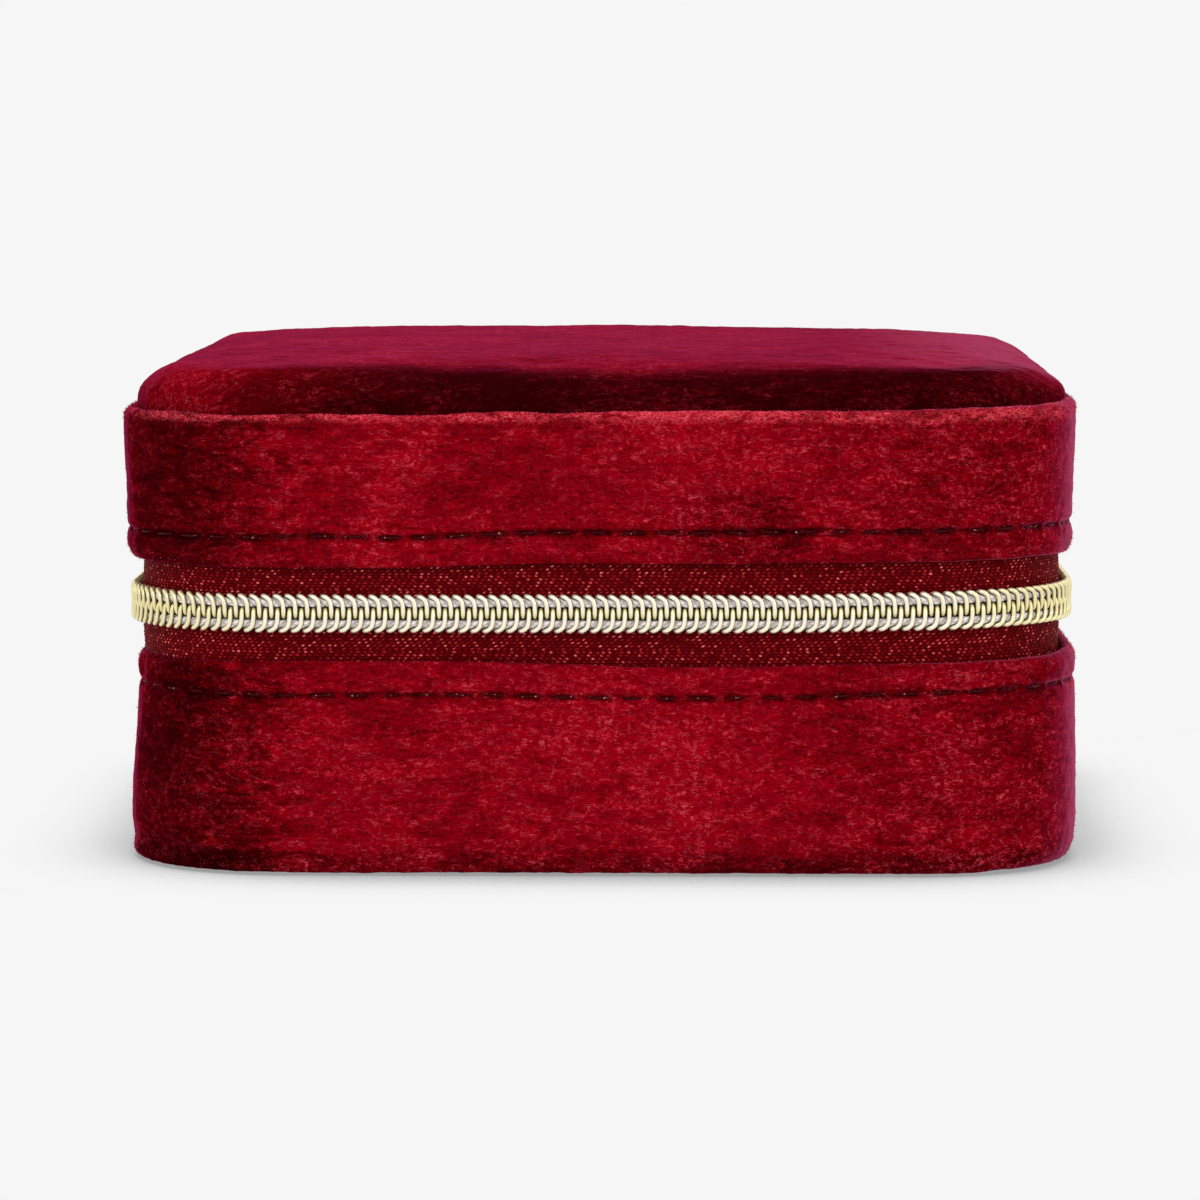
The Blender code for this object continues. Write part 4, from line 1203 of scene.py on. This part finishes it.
def rounded_section(left, right, low, high, radius, sides=10):
    """Counter-clockwise rounded rectangle with extra points along its sides."""
    corners = [arc(across, z, radius, angle, angle + 90, 5) for across, z, angle in (
        (right - radius, low + radius, -90), (right - radius, high - radius, 0),
        (left + radius, high - radius, 90), (left + radius, low + radius, 180))]
    section = []
    for k in range(4):
        section += corners[k]
        a, b = corners[k][-1], corners[(k + 1) % 4][0]
        section += [(a[0] + (b[0] - a[0]) * i / sides, a[1] + (b[1] - a[1]) * i / sides)
                    for i in range(1, sides)]
    return section


def lathe(name, profile, x, y, mat):
    """A closed turned piece from (radius, z) points, bottom to top."""
    sides, count = 48, len(profile)
    radius, z = np.array(profile).T
    angle = circle(sides)[:, None]
    points = vec(x + radius * np.cos(angle), y + radius * np.sin(angle), z)
    verts = np.concatenate([points.reshape(-1, 3), [[x, y, z[0]], [x, y, z[-1]]]])
    low, high = sides * count, sides * count + 1
    caps = [(low, ((i + 1) % sides) * count, i * count) for i in range(sides)]
    caps += [(high, i * count + count - 1, ((i + 1) % sides) * count + count - 1)
             for i in range(sides)]
    quads = grid_faces(sides, count, True, False)
    return make_mesh(name, verts, np.concatenate([split_quads(quads), np.array(caps)]), mat)


# ---------------------------------------------------------------- inside: linings
PIPE_RADIUS = 0.36      # piped edge of each lining
FLOOR_EDGE = -3.15

base_lining = column(-2.62, 6.0, 28.1, 1.6)
base_lining += [(-0.74, 28.24), (-0.72, 28.6), (-0.9, 28.74), (-1.6, 28.78), (-2.3, 28.74)]
base_lining += arc(-3.0, 28.62, PIPE_RADIUS, 45, 215) + [(-3.28, 28.0), (-3.38, 27.2)]
base_lining += column(-3.42, 26.4, 6.0, 1.0)
ring_piece("base_lining_suede", base_lining, SUEDE, "base", "base_lining", "lining",
           seed=91, amp=0.09)

lid_lining = column(-3.42, 45.5, 31.8, 1.0) + [(-3.38, 31.0), (-3.28, 30.2)]
lid_lining += arc(-3.0, 29.44, PIPE_RADIUS, 145, 315)
lid_lining += [(-2.3, 29.28), (-1.6, 29.24), (-0.9, 29.27), (-0.72, 29.4), (-0.74, 29.74)]
lid_lining += column(-2.62, 29.9, 45.5, 1.6)
ring_piece("lid_lining_suede", lid_lining, SUEDE, "lid", "lid_lining", "lining",
           seed=93, amp=0.09)

ring_piece("lid_wall_padding", column(1.15, 43.8, 49.2, 1.2) + column(-0.35, 49.2, 43.8, 1.2),
           FOAM, "lid", "lid_wall_foam", "foam", seed=95, amp=0.05)


def floor_pad():
    x, y = square_grid(121, FLOOR_EDGE)
    gap = edge_gap(x, y, FLOOR_EDGE)
    z = 5.62 - 0.35 * (1 - smooth(0, 2.5, gap)) + 0.10 * fbm(vec(x, y, 0), 8.0, 97)
    place(make_shell("base_floor_pad", vec(x, y, z), 0.85, SUEDE_DEEP),
          "base", "lining", "base_floor_lining")


floor_pad()

# ---------------------------------------------------------------- ring pads, dividers
PAD_COUNT, PAD_WIDTH, PAD_PITCH = 7, 10.6, 11.4
PAD_FOOT, PAD_TOP = 5.95, 24.6
DIVIDER_Y = (-14.0, 14.0)


def ring_pad(index):
    y = (index - PAD_COUNT // 2) * PAD_PITCH
    half = PAD_WIDTH / 2
    flank = [(half * (0.94 + 0.09 * math.sin(math.pi * q)),
              PAD_FOOT + (PAD_TOP - half - PAD_FOOT) * q) for q in np.linspace(0, 1, 16)]
    section = [(y + across, z) for across, z in flank]
    section += [(y + half * 0.955 * math.cos(a), PAD_TOP - half + (half + 0.10) * math.sin(a))
                for a in np.linspace(0, math.pi, 26)[1:-1]]
    section += [(y - across, z) for across, z in reversed(flank)]
    section += [(y - half * 0.9 + half * 1.8 * q, 5.92) for q in (0.02, 0.25, 0.5, 0.75, 0.98)]
    pad = bar(f"ring_pad_{index + 1}_suede", "X", 9.2, 45.2, section, 1.7, SUEDE,
              count=70, seed=100 + index, amp=0.16)
    place(pad, "base", "lining", f"ring_pad_{index + 1}")


for i in range(PAD_COUNT):
    ring_pad(i)

place(bar("ring_partition_suede", "Y", -46.3, 45.5, rounded_section(6.3, 8.1, 5.9, 25.4, 0.85),
          0.8, SUEDE_DEEP, count=120, seed=120, amp=0.05), "base", "lining", "ring_partition")
for i, y in enumerate(DIVIDER_Y):
    wall = rounded_section(y - 0.9, y + 0.9, 6.0, 24.0, 0.85)
    place(bar(f"divider_{i + 1}_suede", "X", -46.25, 5.95, wall, 0.8, SUEDE_DEEP,
              count=90, seed=130 + i, amp=0.05), f"divider_{i + 1}", "lining", f"divider_{i + 1}")

# ---------------------------------------------------------------- lid panel
WINDOW_Y = -3.0         # centre of the mirror's window


def ray_reach(angle, centre_y, half_x, half_y, radius):
    """Distance from the window's centre to a rounded rectangle, by bisection."""
    near, far = np.zeros_like(angle), np.full_like(angle, 120.0)
    for _ in range(40):
        middle = (near + far) / 2
        inside = box_distance(np.cos(angle) * middle,
                              WINDOW_Y + np.sin(angle) * middle - centre_y,
                              half_x, half_y, radius) < 0
        near = np.where(inside, middle, near)
        far = np.where(inside, far, middle)
    return near


def lid_panel():
    """The padded panel with a window for the mirror and a recess behind it."""
    angle = circle(int(720 * FINE))
    window = ray_reach(angle, WINDOW_Y, 38.0, 19.0, 5.0)
    recess = ray_reach(angle, WINDOW_Y, 40.8, 21.8, 6.8)
    outer = ray_reach(angle, 0, 46.9, 46.9, 12.4)
    # (radius, z): the face that looks into the case, then round the back
    rows = [(window + (outer - window) * q,
             46.25 - 0.42 * math.sin(math.pi * q) ** 0.7 + 0.55 * (1 - smooth(0.0, 0.05, q))
             + 0.5 * smooth(0.97, 1.0, q)) for q in np.linspace(0, 1, 26)]
    rows += [(outer, 47.6), (outer - 0.3, 49.0), ((recess + outer) / 2, 49.05),
             (recess + 0.25, 49.0), (recess + 0.2, 47.5), ((recess + window) / 2, 47.45),
             (window + 0.15, 47.4)]
    radius = np.stack([row[0] for row in rows], 1)
    points = vec(radius * np.cos(angle)[:, None], WINDOW_Y + radius * np.sin(angle)[:, None],
                 np.array([row[1] for row in rows]))
    on_face = np.zeros(len(rows))
    on_face[1:25] = 1
    relief = 0.07 * fbm(points, 6.0, 140) * on_face[None, :]
    points = points + normals_of(points, True, True) * relief[..., None]
    faces = grid_faces(len(angle), len(rows), True, True)
    place(make_mesh("lid_panel_padded", points, faces, SUEDE), "lid", "lining", "lid_panel")


lid_panel()

# ---------------------------------------------------------------- necklace hooks
HOOK_X = (-24.0, 0.0, 24.0)
PIVOT_Y, HOOK_LENGTH = -42.4, 14.6
HOOK_TIP = PIVOT_Y + HOOK_LENGTH
SNAP_Y = PIVOT_Y + 11.0
# (radius, z)
SNAP_CAP = [(0.5, 42.92), (1.1, 42.96), (1.6, 43.04), (1.95, 43.15), (2.1, 43.24),
            (2.2, 43.22), (2.42, 43.16), (2.62, 43.22), (2.7, 43.36), (2.68, 43.5),
            (2.55, 43.62), (1.4, 43.74), (0.5, 43.76)]
SNAP_STUD = [(0.35, 45.02), (0.75, 45.06), (0.95, 45.2), (0.88, 45.38), (0.8, 45.5),
             (1.3, 45.56), (1.75, 45.62), (1.88, 45.74), (1.85, 45.88), (1.2, 46.02),
             (0.4, 46.02)]


def strap_width(y):
    """Share of the full width: a rounded tip and a slight waist."""
    end = np.clip((HOOK_TIP - y) / 3.6, 0, 1)
    waist = np.sin(math.pi * np.clip((y - PIVOT_Y) / HOOK_LENGTH, 0, 1))
    return np.sqrt(np.maximum(1 - (1 - end) ** 2, 0.0)) * 0.97 + 0.03 - 0.05 * waist


def bar_tack(x, number):
    """Nine short threads across the strap's root."""
    angle = circle(8)[None, :]
    y = np.linspace(-41.9, -40.7, 7)[:, None]
    arch = -0.07 * np.sin(np.linspace(0, math.pi, 7))[:, None]
    tubes = [vec(x - 2.8 + 5.6 * k / 8 + 0.13 * np.cos(angle), y,
                 43.74 + 0.10 * np.sin(angle) + arch) for k in range(9)]
    plies = [np.linspace(0, 9, 58)] * 9
    place(make_threads(f"hook_tack_{number}", tubes, plies), f"hook_{number}", "thread")


def hook(x, index):
    number = index + 1
    body = f"hook_{number}"
    place(bar(f"hook_strap_{number}_suede", "Y", PIVOT_Y + 0.1, HOOK_TIP,
              rounded_section(x - 3.5, x + 3.5, 43.8, 44.8, 0.45, sides=14), 0.4, SUEDE_DEEP,
              count=60, seed=150 + index, amp=0.04, width=strap_width),
          body, "lining", f"hook_strap_{number}")
    place(lathe(f"snap_cap_{number}_domed", SNAP_CAP, x, SNAP_Y, GOLD),
          body, "gold", f"snap_cap_{number}")
    place(lathe(f"snap_stud_{number}_turned", SNAP_STUD, x, SNAP_Y, GOLD),
          "lid", "gold", f"snap_stud_{number}")
    place(bar(f"hook_anchor_{number}_suede", "X", x - 4.2, x + 4.2,
              rounded_section(-45.6, -43.2, 43.7, 45.95, 0.7), 0.5, SUEDE_DEEP,
              count=30, seed=160 + index, amp=0.05),
          "lid", "lining", f"hook_anchor_{number}")
    bar_tack(x, number)


for i, x in enumerate(HOOK_X):
    hook(x, i)

# ---------------------------------------------------------------- gathered pocket
POCKET_HALF = 38.0
POCKET_Z = 46.1         # plane the pocket hangs from


def pocket():
    side, rise = np.meshgrid(np.linspace(-1, 1, int(260 * FINE)),
                             np.linspace(0, 1, int(64 * FINE)), indexing="ij")
    wide = side * POCKET_HALF
    belly = (1 - np.abs(side) ** 4) * (1 - rise ** 2.2)
    half = POCKET_HALF - 4.0 * np.maximum(0, rise - 0.85)
    wander = 3.2 * vnoise(vec(wide, rise * 3, 0), 6.0, 171)
    fold = 0.95 * (1 - rise) ** 0.9 * np.sin(wide * 2 * math.pi / 3.1 + wander)
    fold += 0.22 * np.sin(wide * 2 * math.pi / 5.3 + 2) * (rise * (1 - rise) * 4)
    fold *= 1 - np.abs(side) ** 8
    points = vec(side * half, 20.0 + 23.0 * rise, POCKET_Z - 1.1 - 3.2 * belly - 0.62 * fold)
    points[..., 2] = np.minimum(points[..., 2] + 0.06 * fbm(points, 4.0, 173), 45.75)
    place(make_shell("necklace_pocket_gathered", points, 0.45, SATIN),
          "lid", "pocket", "necklace_pocket")


def pocket_elastic():
    share = np.linspace(-1, 1, int(520 * FINE))[:, None]
    angle = circle(16)[None, :]
    gathers = np.sin(share * POCKET_HALF * 2 * math.pi / 1.55 + 1.2 * np.sin(share * 21))
    ruche = 1 + 0.16 * gathers + 0.06 * np.sin(share * 93)
    z = POCKET_Z - 1.05 - 3.35 * (1 - np.abs(share) ** 4)
    rings = vec(38.4 * share, 19.35 + 0.95 * ruche * np.cos(angle),
                z + 0.52 * ruche * np.sin(angle))
    place(make_capped("pocket_elastic_ruched", rings[:, ::-1], SATIN),
          "lid", "pocket", "pocket_elastic")


pocket()
pocket_elastic()


# ---------------------------------------------------------------- fabric hinge
def hinge_strip(name, half_x, low, high, y, thick, mat, nodes, seed):
    """One piece across the joint."""
    x, z = np.meshgrid(np.linspace(half_x, -half_x, int(300 * FINE)),
                       np.linspace(low, high, int(56 * FINE)), indexing="ij")
    points = vec(x, y, z)
    points[..., 1] += 0.10 * fbm(points, (6.0, 6.0, 2.2), seed)
    obj = make_shell(name, points, thick, mat)
    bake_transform(obj)
    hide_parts(*nodes)


hinge_strip("hinge_web_velvet", half_x=31.8, low=20.6, high=37.0, y=52.05, thick=0.7,
            mat=VELVET_WALL,
            nodes=("hinge_web_lower", "hinge_web_upper"), seed=181)
hinge_strip("hinge_lining_suede", half_x=30.0, low=22.0, high=36.0, y=46.25, thick=0.45,
            mat=SUEDE,
            nodes=("hinge_lining_lower", "hinge_lining_upper"), seed=183)

# ---------------------------------------------------------------- CAD pieces that stay
# (node, material, width of its softened edges)
KEPT = [("base_shell", BOARD, None), ("lid_shell", BOARD, None),
        ("base_floor_foam", FOAM, None), ("base_wall_foam", FOAM, None),
        ("lid_top_foam", FOAM, None), ("mirror", MIRROR, 0.3),
        ("slider_body", GOLD, 0.16), ("zip_pull", GOLD, 0.16)]
for node, mat, edge_width in KEPT:
    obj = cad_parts[node]
    obj.data.materials.clear()
    obj.data.materials.append(mat)
    if edge_width:
        bevel = obj.modifiers.new("soft_edges", "BEVEL")
        bevel.width = edge_width * MM
        bevel.segments = 3
        bevel.limit_method = "ANGLE"
        bevel.angle_limit = math.radians(35)

# ---------------------------------------------------------------- floor and world (metres)
BACKDROP = 0.921        # brightness of floor and world


def floor_material():
    """A pale sweep that shows only the soft contact shadow of what stands on it."""
    mat = Shader("pale_floor")
    near = mat.put("ShaderNodeAmbientOcclusion", {"samples": 6}, Distance=0.018)
    # (openness, grey)
    greys = [(0.47, 0.36), (0.58, 0.66), (0.67, 0.81), (0.76, 0.915), (0.85, 0.975),
             (0.94, 1.0), (1.0, 1.0)]
    shade = mat.ramp(near.outputs["AO"], [(at_, (grey,) * 3) for at_, grey in greys])
    return mat.out(Emission_Color=mat.mix(shade, (0.0, 0.0, 0.0), (BACKDROP,) * 3),
                   Base_Color=(0, 0, 0), Roughness=1.0, Emission_Strength=1.0,
                   Specular_IOR_Level=0.0)


grid = bmesh.new()
bmesh.ops.create_grid(grid, x_segments=1, y_segments=1, size=40.0)
floor_mesh = bpy.data.meshes.new("floor")
grid.to_mesh(floor_mesh)
grid.free()
floor_mesh.materials.append(floor_material())
floor = bpy.data.objects.new("floor", floor_mesh)
bpy.context.scene.collection.objects.link(floor)
floor.location.z = -0.0002

world = bpy.data.worlds.new("studio")
bpy.context.scene.world = world
world.use_nodes = True
background = world.node_tree.nodes["Background"]
background.inputs["Color"].default_value = (1.0, 1.0, 1.0, 1)
background.inputs["Strength"].default_value = BACKDROP


# ---------------------------------------------------------------- lights (metres, watts)
def aim(obj, direction):
    obj.rotation_euler = direction.to_track_quat("-Z", "Y").to_euler()


def area(name, location, target, size, power):
    data = bpy.data.lights.new(name, "AREA")
    data.shape = "RECTANGLE"
    data.size, data.size_y = size
    data.energy = power
    data.color = (1, 1, 1)
    obj = bpy.data.objects.new(name, data)
    obj.location = location
    aim(obj, Vector(target) - Vector(location))
    bpy.context.scene.collection.objects.link(obj)


area("key_front", location=(-0.25, -0.95, 0.62), target=(0, 0, 0.03), size=(0.7, 0.5),
     power=3.2)
area("fill_right", location=(0.85, -0.45, 0.35), target=(0, 0, 0.03), size=(0.5, 0.5),
     power=1.0)
area("top_back", location=(0.0, 0.55, 0.85), target=(0, 0, 0.05), size=(0.8, 0.5), power=2.0)

# ---------------------------------------------------------------- camera (metres, radians)
YAW, TILT = 0.0194, 0.0991              # to the right of the front; downwards
CAMERA_HEIGHT = 0.0837
CAMERA_REACH = 0.5394 + 0.0525          # distance to the front face, and its distance from Z

camera_data = bpy.data.cameras.new("camera")
camera_data.sensor_width = 36.0
camera_data.lens = 150.21
camera_data.shift_x = -0.00566667
camera_data.clip_start = 0.01
camera = bpy.data.objects.new("camera", camera_data)
camera.location = (math.sin(YAW) * CAMERA_REACH, -math.cos(YAW) * CAMERA_REACH, CAMERA_HEIGHT)
aim(camera, Vector((-math.sin(YAW) * math.cos(TILT), math.cos(YAW) * math.cos(TILT),
                    -math.sin(TILT))))
bpy.context.scene.collection.objects.link(camera)
bpy.context.scene.camera = camera
bpy.context.scene.view_settings.view_transform = "Standard"
